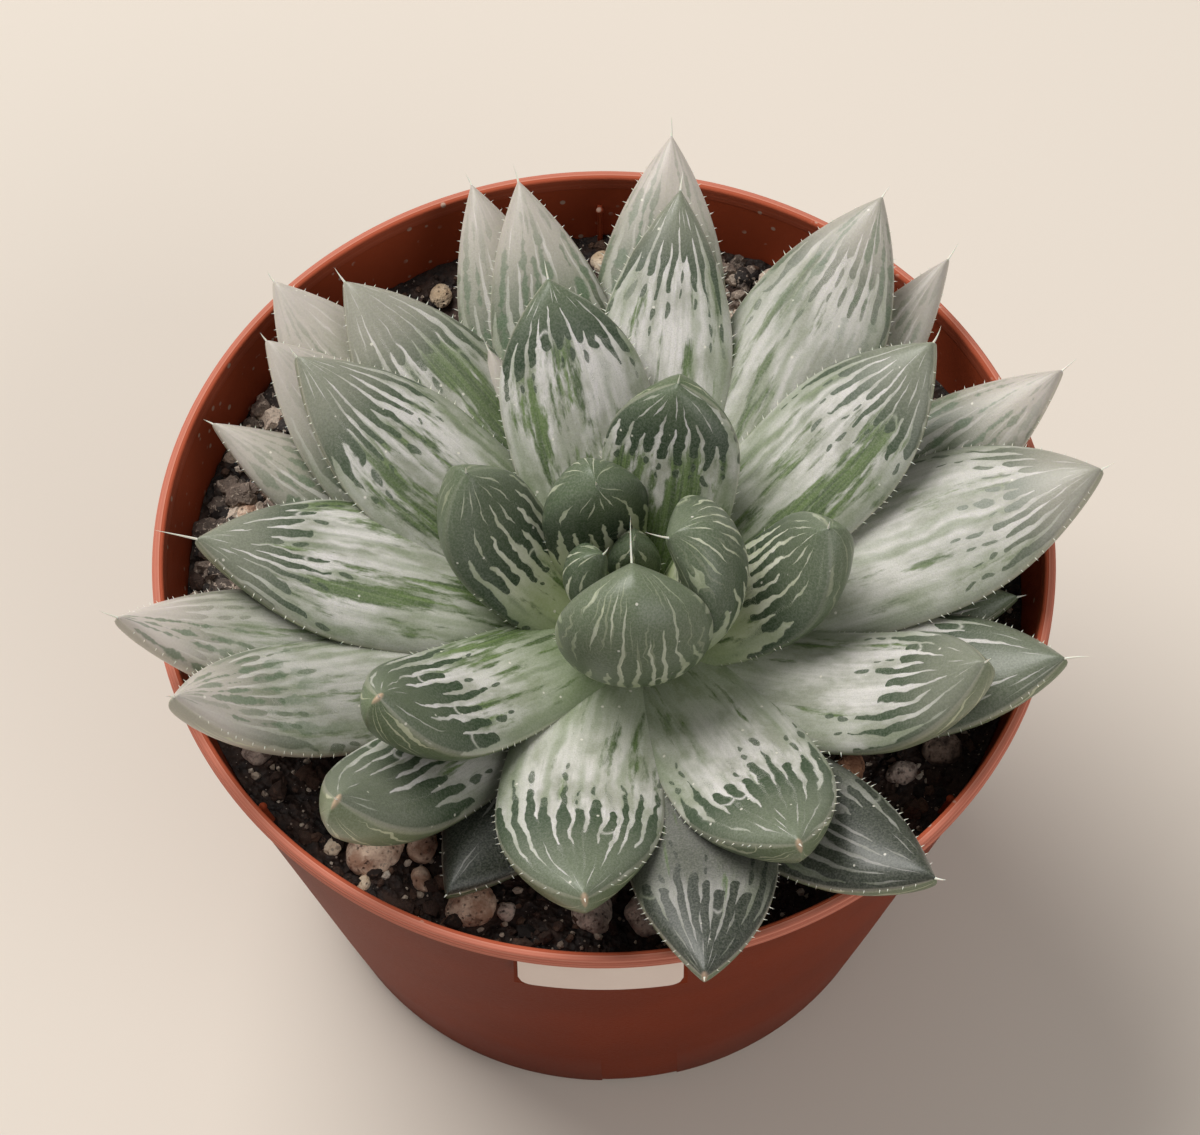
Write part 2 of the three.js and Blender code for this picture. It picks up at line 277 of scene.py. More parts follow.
lightSetup = {
    "key": {"place": (-0.42, 0.42, 0.85), "size": 0.75, "power": 11.2, "colour": (1.0, 0.98, 0.95)},
    "fill": {"place": (0.55, -0.55, 0.65), "size": 0.8, "power": 3.0, "colour": (1.0, 0.98, 0.96)},
    "worldColour": (0.96, 0.95, 0.94, 1.0),
    "worldStrength": 0.31,
}


def addLight(name, place, size, power, colour):
    clearSelection()
    bpy.ops.object.light_add(type="AREA", location=place)
    light = bpy.context.object
    light.name = name
    light.data.shape = "DISK"
    light.data.size = size
    light.data.energy = power
    light.data.color = colour
    toPot = Vector((0, 0, rimHeight)) - Vector(place)
    light.rotation_euler = toPot.to_track_quat("-Z", "Y").to_euler()


def addWorld(setup):
    world = bpy.data.worlds.new("softRoom")
    world.use_nodes = True
    background = world.node_tree.nodes["Background"]
    background.inputs["Color"].default_value = setup["worldColour"]
    background.inputs["Strength"].default_value = setup["worldStrength"]
    bpy.context.scene.world = world


def addFloor():
    clearSelection()
    bpy.ops.mesh.primitive_plane_add(size=8)
    floor = bpy.context.object
    floor.name = "floor"
    material, _, shader = newMaterial("paleFloor")
    shader.inputs["Base Color"].default_value = rgb(214, 205, 194)
    shader.inputs["Roughness"].default_value = 0.9
    floor.data.materials.append(material)


addCamera(cameraSetup)
for lightName in ("key", "fill"):
    addLight(lightName, **lightSetup[lightName])
addWorld(lightSetup)
addFloor()
bpy.context.scene.view_settings.view_transform = "Standard"

# Pot
print("pot")
potShape = {
    "segments": 240,
    "footRadius": 29 * mm,
    "footRing": 2.5 * mm,
    "floorLift": 1 * mm,
    "floorThickness": 1.4 * mm,
    "padRadius": 6 * mm,
    "wall": 0.8 * mm,
    "lipHeight": 1.4 * mm,
    "inset": 0.5 * mm,
    "edge": 0.35 * mm,
    "padMargin": 0.4 * mm,
    "padSlope": 1.1 * mm,
    "holeRadius": 1.8 * mm,
    "holeCircle": 17 * mm,
    "holeCount": 8,
    "notchAngles": (-84, 6, 96, 186),
    "notchWidth": 7.5 * mm,
    "lugAngles": (90, 217.5, 322.5),
    "lugDrop": 3.6 * mm,
    "lugHeight": 12 * mm,
    "lugWidth": 0.5 * mm,
    "lugDepth": 0.75 * mm,
    "knobRadius": 0.4 * mm,
    "knobInset": 0.55 * mm,
    "lugBevel": 0.12 * mm,
    "innerCorner": 1.5 * mm,
    "floorDisc": 2 * mm,
    "lowRing": 12 * mm,
    "middleRing": 30 * mm,
}
stickerShape = {
    "width": 15.2 * mm,
    "height": 4.9 * mm,
    "corner": 1.3 * mm,
    "thickness": 0.14 * mm,
    "columns": 48,
    "rows": 14,
    "angle": -91,
    "topGap": 0.3 * mm,
    "lift": 0.04 * mm,
}
# The lip's turned outline from its foot over the top to its inside, in millimetres:
# how far each point lies in from the rim, and how far below it
lipTurns = (
    (0.2, 1.4), (0.03, 1.36), (0.0, 1.2), (0.08, 1.1), (0.08, 0.66), (0.0, 0.58), (0.0, 0.5), (0.1, 0.42),
    (0.12, 0.14), (0.18, 0.04), (0.28, 0.0), (0.86, 0.0), (1.0, 0.05), (1.08, 0.16), (1.1, 0.35),
)
underLip = rimHeight - potShape["lipHeight"]
wallTaper = (potRadius - potShape["inset"] - potShape["footRadius"]) / underLip


def outerRadius(z):
    return potShape["footRadius"] + wallTaper * z


def innerRadius(z):
    return outerRadius(z) - potShape["wall"]


# A turned shell: one ring of edges is extruded and widened from point to point of the profile
def turnProfile(profile, segments):
    clearSelection()
    radius, z = profile[0]
    bpy.ops.mesh.primitive_circle_add(
        vertices=segments, radius=radius, location=(0, 0, z), fill_type="TRIFAN"
    )
    shell = bpy.context.object
    settle(shell)
    startEdit("EDGE")
    bpy.ops.mesh.region_to_loop()
    for nextRadius, nextZ in profile[1:]:
        bpy.ops.mesh.extrude_edges_move(TRANSFORM_OT_translate={"value": (0, 0, nextZ - z)})
        grow = nextRadius / radius
        bpy.ops.transform.resize(value=(grow, grow, 1), center_override=(0, 0, nextZ))
        radius, z = nextRadius, nextZ
    bpy.ops.mesh.edge_face_add()
    bpy.ops.mesh.poke()
    closeEdit()
    return shell


def potProfile(shape):
    foot, edge = shape["footRadius"], shape["edge"]
    footInside = foot - shape["footRing"]
    lift, corner = shape["floorLift"], shape["innerCorner"]
    floorTop = lift + shape["floorThickness"]
    low, middle = shape["lowRing"], shape["middleRing"]
    profile = [
        (shape["padRadius"], 0),
        (shape["padRadius"] + edge, lift),
        (footInside - edge, lift),
        (footInside, edge / 2),
        (footInside + edge / 2, 0),
        (foot - edge, 0),
        (foot, edge),
        (outerRadius(low), low),
        (outerRadius(middle), middle),
        (outerRadius(underLip), underLip),
    ]
    profile += [(potRadius - inset * mm, rimHeight - drop * mm) for inset, drop in lipTurns]
    profile += [
        (innerRadius(underLip - shape["wall"]), underLip - shape["wall"]),
        (innerRadius(middle), middle),
        (innerRadius(floorTop + corner), floorTop + corner),
        (innerRadius(floorTop) - corner, floorTop),
        (shape["floorDisc"], floorTop),
    ]
    return profile


def joinPieces(pieces):
    clearSelection()
    for piece in pieces:
        piece.select_set(True)
    bpy.context.view_layer.objects.active = pieces[0]
    bpy.ops.object.join()
    return bpy.context.object


# Cuts one closed body out of a piece or joins it on
def useCutter(piece, cutter, operation):
    modifier = piece.modifiers.new("cut", "BOOLEAN")
    modifier.operation = operation
    modifier.solver = "MANIFOLD"
    modifier.object = cutter
    applyModifiers(piece)
    bpy.data.objects.remove(cutter)


# What drains the pot: round holes through its floor and notches through its foot ring
def drainCutters(shape):
    cutters = []
    floorMiddle = shape["floorLift"] + shape["floorThickness"] / 2
    for index in range(shape["holeCount"]):
        angle = math.tau * index / shape["holeCount"]
        place = Vector((math.cos(angle), math.sin(angle), 0)) * shape["holeCircle"]
        place.z = floorMiddle
        clearSelection()
        bpy.ops.mesh.primitive_cylinder_add(
            vertices=28, radius=shape["holeRadius"], depth=5 * shape["floorThickness"], location=place
        )
        cutters.append(bpy.context.object)
    ringMiddle = shape["footRadius"] - shape["footRing"] / 2
    for degrees in shape["notchAngles"]:
        angle = math.radians(degrees)
        place = Vector((math.cos(angle), math.sin(angle), 0)) * ringMiddle
        clearSelection()
        bpy.ops.mesh.primitive_cube_add(size=1, location=place)
        block = bpy.context.object
        block.scale = (3 * shape["footRing"], shape["notchWidth"], 2 * shape["floorLift"])
        block.rotation_euler = (0, 0, angle)
        cutters.append(block)
    for cutter in cutters:
        settle(cutter)
    return joinPieces(cutters)


# A slim rib inside the wall with a rounded knob at its top
def addLug(pot, shape, degrees):
    top = rimHeight - shape["lugDrop"]
    foot = top - shape["lugHeight"]
    clearSelection()
    bpy.ops.mesh.primitive_cube_add(size=1, location=(0, 0, 0))
    rib = bpy.context.object
    for vertex in rib.data.vertices:
        upper = vertex.co.z > 0
        z = top if upper else foot
        outward = innerRadius(z) + (shape["wall"] / 2 if vertex.co.x > 0 else -shape["lugDepth"])
        vertex.co = Vector((outward, vertex.co.y * shape["lugWidth"], z))
    clearSelection()
    bpy.ops.mesh.primitive_uv_sphere_add(segments=16, ring_count=10, radius=shape["knobRadius"])
    knob = bpy.context.object
    knob.location = (innerRadius(top) - shape["knobInset"], 0, top - shape["knobRadius"] / 2)
    settle(knob)
    bevel = rib.modifiers.new("soft", "BEVEL")
    bevel.width = shape["lugBevel"]
    bevel.segments = 2
    applyModifiers(rib)
    for part in (rib, knob):
        part.rotation_euler = (0, 0, math.radians(degrees))
        settle(part)
        useCutter(pot, part, "UNION")


# The upright pad on the tapering wall that carries the sticker
def addPad(pot, shape, sticker):
    clearSelection()
    bpy.ops.mesh.primitive_cube_add(size=2)
    pad = bpy.context.object
    startEdit()
    bpy.ops.mesh.subdivide(number_cuts=15)
    bpy.ops.object.mode_set(mode="OBJECT")
    face = outerRadius(underLip)
    halfWidth = sticker["width"] / 2 + shape["padMargin"]
    top = underLip + shape["wall"] / 2
    foot = underLip - sticker["topGap"] - sticker["height"] - shape["padMargin"]
    for vertex in pad.data.vertices:
        across, outward, upward = vertex.co.x, (vertex.co.y + 1) / 2, (vertex.co.z + 1) / 2
        slopedFoot = foot - shape["padSlope"] * (1 - outward)
        z = slopedFoot + (top - slopedFoot) * upward
        inside = outerRadius(z) - shape["wall"] / 2
        radius = inside + (face - inside) * outward
        angle = math.radians(sticker["angle"]) + across * halfWidth / face
        vertex.co = Vector((radius * math.cos(angle), radius * math.sin(angle), z))
    startEdit()
    closeEdit()
    useCutter(pot, pad, "UNION")


def potPlastic():
    material, tree, shader = newMaterial("brownPlastic")
    place = objectPlace(tree)
    x, y, z = separate(tree, place)
    clouds = noiseField(tree, place, 0.06, 3)
    grain = noiseField(tree, place, 2.6, 4, 0.6)
    # faint scuffs that run round the wall
    turn = y.calc("ARCTAN2", x)
    scuff = noiseField(tree, vectorOf(tree, turn * 6, z * 2.2, 0.0), 1.6, 4, 0.65).ramp(0.6, 0.75)
    # fine turned lines on the lip, and specks of lime and scratches inside the wall
    lip = z.ramp(rimHeight / mm - 1.5, rimHeight / mm - 1.3)
    reach = (x * x + y * y) ** 0.5
    turned = noiseField(tree, vectorOf(tree, reach * 5, 0.0, z * 3), 1.0, 3, 0.6)
    inside = (outerWallField(z) - 0.45 - reach).ramp(0.0, 0.1)
    speck = voronoiField(tree, place, 0.62).ramp(0.2, 0.12)
    patch = noiseField(tree, place, 0.22, 2).ramp(0.44, 0.56)
    scratch = noiseField(tree, vectorOf(tree, turn * 30, z * 0.9, reach * 0.3), 1.0, 2, 0.7).ramp(0.7, 0.76)
    colour = layColours(
        tree,
        mixColour(tree, clouds.ramp(0.3, 0.7), rgb(107, 35, 3), rgb(117, 40, 5)),
        # the lip is painted lighter than the wall: painted light and a painted sheen on the rim's top
        (lip * 0.9, rgb(194, 118, 98)),
        (scuff * 0.18, rgb(186, 120, 98)),
        (lip * turned.ramp(0.5, 0.62) * 0.45, rgb(232, 170, 148)),
        (lip * turned.ramp(0.44, 0.34) * 0.4, rgb(120, 58, 42)),
        # the inside of the wall is painted lighter than the outside: painted light on the inner wall
        (inside * 0.85, rgb(168, 78, 50)),
        (inside * speck * patch * 0.75, rgb(196, 176, 160)),
        (inside * scratch * 0.35, rgb(190, 150, 132)),
    )
    tree.links.new(colour, shader.inputs["Base Color"])
    plug(tree, shader.inputs["Roughness"], grain * 0.12 + scuff * 0.12 + 0.42)
    shader.inputs["Specular IOR Level"].default_value = 0.05
    addBump(tree, shader, grain * 0.5 + clouds * 0.6 + lip * turned, 0.06 * mm)
    return material


def outerWallField(z):
    return z * wallTaper + potShape["footRadius"] / mm


def makePot():
    pot = turnProfile(potProfile(potShape), potShape["segments"])
    useCutter(pot, drainCutters(potShape), "DIFFERENCE")
    addPad(pot, potShape, stickerShape)
    for degrees in potShape["lugAngles"]:
        addLug(pot, potShape, degrees)
    finishPiece(pot, "turnedPot", [potPlastic()], "pot_plastic", "pot", smoothAngle=40)


makePot()

# Sticker
print("sticker")


def stickerPaper():
    material, tree, shader = newMaterial("creamPaper")
    place = objectPlace(tree)
    fibre = noiseField(tree, place, 1.4, 5, 0.7)
    stain = noiseField(tree, place, 0.2, 2)
    colour = layColours(
        tree,
        mixColour(tree, stain, rgb(222, 203, 192), rgb(232, 216, 205)),
        (fibre * 0.2, rgb(206, 186, 174)),
    )
    tree.links.new(colour, shader.inputs["Base Color"])
    plug(tree, shader.inputs["Roughness"], fibre * 0.15 + 0.5)
    addBump(tree, shader, fibre, 0.015 * mm)
    return material


def makeSticker(shape):
    clearSelection()
    bpy.ops.mesh.primitive_grid_add(x_subdivisions=shape["columns"], y_subdivisions=shape["rows"], size=2)
    sticker = bpy.context.object
    padRadius = outerRadius(underLip) + shape["lift"]
    top = underLip - shape["topGap"]
    for vertex in sticker.data.vertices:
        across = vertex.co.x * shape["width"] / 2
        inCorner = max(0.0, abs(across) - (shape["width"] / 2 - shape["corner"]))
        rounding = shape["corner"] - math.sqrt(max(0.0, shape["corner"] ** 2 - inCorner ** 2))
        drop = (1 - vertex.co.y) / 2 * (shape["height"] - rounding)
        z = top - drop
        angle = math.radians(shape["angle"]) + across / padRadius
        vertex.co = Vector((padRadius * math.cos(angle), padRadius * math.sin(angle), z))
    solid = sticker.modifiers.new("thickness", "SOLIDIFY")
    solid.thickness = shape["thickness"]
    solid.offset = 1
    applyModifiers(sticker)
    finishPiece(sticker, "sticker", [stickerPaper()], "label_paper", "label")


makeSticker(stickerShape)

# Soil
print("soil")
soilShape = {
    "level": rimHeight - 7.6 * mm,
    "dish": 1.2 * mm,
    "cells": 190,
    "lumpSize": 3.2 * mm,
    "lumpHeight": 0.75 * mm,
    "crumbSize": 0.9 * mm,
    "crumbHeight": 0.42 * mm,
    "bottom": 4 * mm,
    "wallGap": 0.12 * mm,
}


def soilHeight(x, y):
    level, dish = soilShape["level"], soilShape["dish"]
    edge = innerRadius(level)
    spot = Vector((x, y, 0))
    lumps = noise.noise(spot / soilShape["lumpSize"]) * soilShape["lumpHeight"]
    crumbs = noise.noise(spot / soilShape["crumbSize"]) * soilShape["crumbHeight"]
    return level - dish * (1 - (x * x + y * y) / edge ** 2) + lumps + crumbs


def soilEarth():
    material, tree, shader = newMaterial("darkPeat")
    place = objectPlace(tree)
    lumps = noiseField(tree, place, 0.5, 5, 0.65)
    crumbs = voronoiField(tree, place, 1.6)
    # pale crumbs and small glints, each in patches
    pale = voronoiField(tree, place, 1.1).ramp(0.16, 0.09)
    palePatch = noiseField(tree, place, 0.3, 2).ramp(0.45, 0.6)
    glint = voronoiField(tree, place, 2.4).ramp(0.13, 0.08)
    glintPatch = noiseField(tree, place, 0.7, 2).ramp(0.5, 0.6)
    colour = layColours(
        tree,
        mixColour(tree, lumps.ramp(0.35, 0.7), rgb(22, 13, 10), rgb(64, 44, 34)),
        (pale * palePatch * 0.8, rgb(168, 152, 138)),
        (glint * glintPatch * 0.8, rgb(206, 194, 182)),
    )
    tree.links.new(colour, shader.inputs["Base Color"])
    plug(tree, shader.inputs["Roughness"], lumps * 0.5 + 0.45)
    addBump(tree, shader, lumps + crumbs * 0.7, 0.5 * mm)
    return material


def makeSoil(shape):
    clearSelection()
    bpy.ops.mesh.primitive_grid_add(x_subdivisions=shape["cells"], y_subdivisions=shape["cells"], size=2)
    soil = bpy.context.object
    edge = innerRadius(shape["level"]) - shape["wallGap"]
    for vertex in soil.data.vertices:
        u, v = vertex.co.x, vertex.co.y
        x = u * math.sqrt(max(0.0, 1 - v * v / 2)) * edge
        y = v * math.sqrt(max(0.0, 1 - u * u / 2)) * edge
        vertex.co = Vector((x, y, soilHeight(x, y)))
    startEdit("EDGE")
    bpy.ops.mesh.region_to_loop()
    z = shape["level"]
    for nextZ in (potShape["middleRing"], shape["bottom"]):
        bpy.ops.mesh.extrude_edges_move(TRANSFORM_OT_translate={"value": (0, 0, nextZ - z)})
        shrink = innerRadius(nextZ) / innerRadius(z)
        bpy.ops.transform.resize(value=(shrink, shrink, 0), center_override=(0, 0, nextZ))
        z = nextZ
    bpy.ops.mesh.edge_face_add()
    closeEdit()
    finishPiece(soil, "soilBed", [soilEarth()], "soil", "soil", smoothAngle=60)


makeSoil(soilShape)

# Crumbs of peat and grains of grit on the soil
print("crumbs and grit")
crumbKinds = {
    "peatCrumbs": {
        "count": 1500, "least": 0.35 * mm, "most": 1.15 * mm, "flat": 0.75, "rounds": 1, "slot": "soil",
        "colours": (rgb(18, 11, 9), rgb(66, 46, 36), rgb(104, 78, 62)), "seed": 11,
    },
    "paleGrit": {
        "count": 1100, "least": 0.12 * mm, "most": 0.5 * mm, "flat": 0.8, "rounds": 1, "slot": "pumice",
        "colours": (rgb(150, 132, 118), rgb(206, 190, 172), rgb(232, 220, 204)), "seed": 23,
    },
    "blackGrit": {
        "count": 420, "least": 0.5 * mm, "most": 1.45 * mm, "flat": 0.9, "rounds": 2, "slot": "pumice",
        "colours": (rgb(44, 38, 36), rgb(136, 120, 108), rgb(240, 220, 200)), "seed": 37,
    },
}
grainShape = {
    "wallGap": 0.9 * mm,
    "bareMiddle": 0.22,
    "manySmall": 2.2,
    "width": (0.75, 1.35),
    "depth": (0.7, 1.1),
    "raised": (0.0, 0.35),
    "rough": 0.5,
}
# The dark grit lies in a large heap at the left and a small one at the back, each from an inner share of
# the soil's radius outward and between two angles
darkHeaps = {"largeShare": 0.75, "large": (0.8, 140, 186), "small": (0.76, 52, 72)}


def grainPlace(rng, kind):
    edge = innerRadius(soilShape["level"]) - grainShape["wallGap"]
    if kind == "blackGrit":
        heap = "large" if rng.random() < darkHeaps["largeShare"] else "small"
        inner, low, high = darkHeaps[heap]
        radius = edge * (inner + (1 - inner) * rng.random())
        angle = math.radians(rng.uniform(low, high))
    else:
        bare = grainShape["bareMiddle"]
        radius = edge * math.sqrt(bare + (1 - bare) * rng.random())
        angle = rng.uniform(0, math.tau)
    return radius * math.cos(angle), radius * math.sin(angle)


def grainMaterial(name, colours):
    material, tree, shader = newMaterial(name)
    tone, _, _ = readAttribute(tree, "grainTone")
    place = objectPlace(tree)
    speckle = noiseField(tree, place, 3.5, 4, 0.7)
    fleck = noiseField(tree, place, 1.8, 3, 0.7)
    dark, middle, light = colours
    colour = layColours(
        tree,
        mixColour(tree, tone.ramp(0.0, 0.6), dark, middle),
        (tone.ramp(0.6, 1.0), light),
        (speckle.ramp(0.45, 0.7) * 0.55, dark),
        (fleck.ramp(0.56, 0.64) * 0.55, light),
    )
    tree.links.new(colour, shader.inputs["Base Color"])
    plug(tree, shader.inputs["Roughness"], speckle * 0.4 + 0.5)
    addBump(tree, shader, speckle + fleck, 0.2 * mm)
    return material


def meshFrom(name, points, faces):
    mesh = bpy.data.meshes.new(name)
    mesh.from_pydata(points, [], faces)
    mesh.validate()
    piece = bpy.data.objects.new(name, mesh)
    bpy.context.scene.collection.objects.link(piece)
    return piece


def baseGrain(rounds):
    clearSelection()
    bpy.ops.mesh.primitive_ico_sphere_add(subdivisions=rounds, radius=1)
    grain = bpy.context.object
    points = [vertex.co.copy() for vertex in grain.data.vertices]
    faces = [tuple(polygon.vertices) for polygon in grain.data.polygons]
    bpy.data.objects.remove(grain)
    return points, faces


def setAttribute(piece, name, values):
    attribute = piece.data.attributes.new(name, "FLOAT_VECTOR", "POINT")
    attribute.data.foreach_set("vector", [number for value in values for number in value])


def scatterGrains(kind, setup):
    rng = random.Random(setup["seed"])
    shape, shapeFaces = baseGrain(setup["rounds"])
    points, faces, tones = [], [], []
    for _ in range(setup["count"]):
        x, y = grainPlace(rng, kind)
        share = rng.random() ** grainShape["manySmall"]
        size = setup["least"] + (setup["most"] - setup["least"]) * share
        spin = rng.uniform(0, math.tau)
        axis = Vector((rng.random(), rng.random(), 0.3)).normalized()
        turn = Matrix.Rotation(spin, 3, axis)
        stretch = (rng.uniform(*grainShape["width"]), rng.uniform(*grainShape["depth"]), setup["flat"])
        z = soilHeight(x, y) + size * rng.uniform(*grainShape["raised"])
        tone = rng.random()
        first = len(points)
        for corner in shape:
            bump = 1 + grainShape["rough"] * (rng.random() - 0.5)
            spot = turn @ Vector((corner.x * stretch[0], corner.y * stretch[1], corner.z * stretch[2]))
            points.append(spot * (size * bump) + Vector((x, y, z)))
            tones.append((tone, 0, 0))
        faces += [tuple(first + index for index in face) for face in shapeFaces]
    piece = meshFrom(kind, points, faces)
    setAttribute(piece, "grainTone", tones)
    finish = grainMaterial(kind + "Finish", setup["colours"])
    finishPiece(piece, kind, [finish], setup["slot"], smoothAngle=20)


for kindName, kindSetup in crumbKinds.items():
    scatterGrains(kindName, kindSetup)

# Stones: each starts as a copy of its plain solid and is rounded and pitted
print("stones")
stoneFinishes = {
    "tan": (rgb(186, 146, 122), rgb(252, 226, 202)),
    "grey": (rgb(146, 128, 118), rgb(236, 216, 202)),
    "dark": (rgb(76, 62, 54), rgb(176, 152, 136)),
    "cream": (rgb(206, 180, 148), rgb(248, 230, 204)),
    "brown": (rgb(116, 76, 54), rgb(196, 146, 114)),
}
stoneKinds = (
    "grey tan tan tan cream cream tan grey grey grey brown dark grey cream cream grey tan dark".split()
)
stoneShape = {
    "grow": 1.08,
    "lumpSize": 1.1 * mm,
    "lumpHeight": 0.12 * mm,
    "pitSize": 0.45 * mm,
    "pitDepth": 0.14 * mm,
    "rounding": 3,
}


def stoneMaterial(name, dark, light):
    material, tree, shader = newMaterial(name)
    place = objectPlace(tree)
    patches = noiseField(tree, place, 0.45, 4, 0.6)
    grain = noiseField(tree, place, 2.4, 5, 0.7)
    fleck = noiseField(tree, place, 1.3, 3, 0.6).ramp(0.58, 0.66)
    pits = voronoiField(tree, place, 1.7).ramp(0.0, 0.3)
    colour = layColours(
        tree,
        mixColour(tree, patches.ramp(0.35, 0.65), dark, light),
        (grain.ramp(0.5, 0.66) * 0.7, dark),
        (fleck * 0.5, rgb(86, 66, 54)),
        # the pits are painted dark: painted shade in their hollows
        (pits.flip() * 0.55, rgb(46, 36, 30)),
    )
    tree.links.new(colour, shader.inputs["Base Color"])
    shader.inputs["Roughness"].default_value = 0.88
    addBump(tree, shader, grain * 0.7 + pits * 0.8, 0.42 * mm)
    return material


def makeStones(shape):
    finishes = {kind: stoneMaterial(kind + "Stone", *tones) for kind, tones in stoneFinishes.items()}
    pitPlace = Vector((7, 3, 1))
    for index, kind in enumerate(stoneKinds):
        node = f"stone_{index + 1:02d}"
        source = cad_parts[node]
        stone = bpy.data.objects.new("stone", source.data.copy())
        bpy.context.scene.collection.objects.link(stone)
        selectOnly(stone)
        startEdit()
        bpy.ops.mesh.remove_doubles(threshold=0.01 * mm)
        bpy.ops.object.mode_set(mode="OBJECT")
        smooth = stone.modifiers.new("round", "SUBSURF")
        smooth.levels = shape["rounding"]
        applyModifiers(stone)
        low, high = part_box(node)
        centre = (low + high) / 2
        for vertex in stone.data.vertices:
            away = vertex.co - centre
            lump = noise.noise(vertex.co / shape["lumpSize"]) * shape["lumpHeight"]
            pit = max(0.0, noise.noise(vertex.co / shape["pitSize"] + pitPlace)) * shape["pitDepth"]
            vertex.co = centre + away * shape["grow"] + away.normalized() * (lump - pit)
        name = "loose" + node.title().replace("_", "")
        finishPiece(stone, name, [finishes[kind]], "pumice", node, smoothAngle=50)


makeStones(stoneShape)
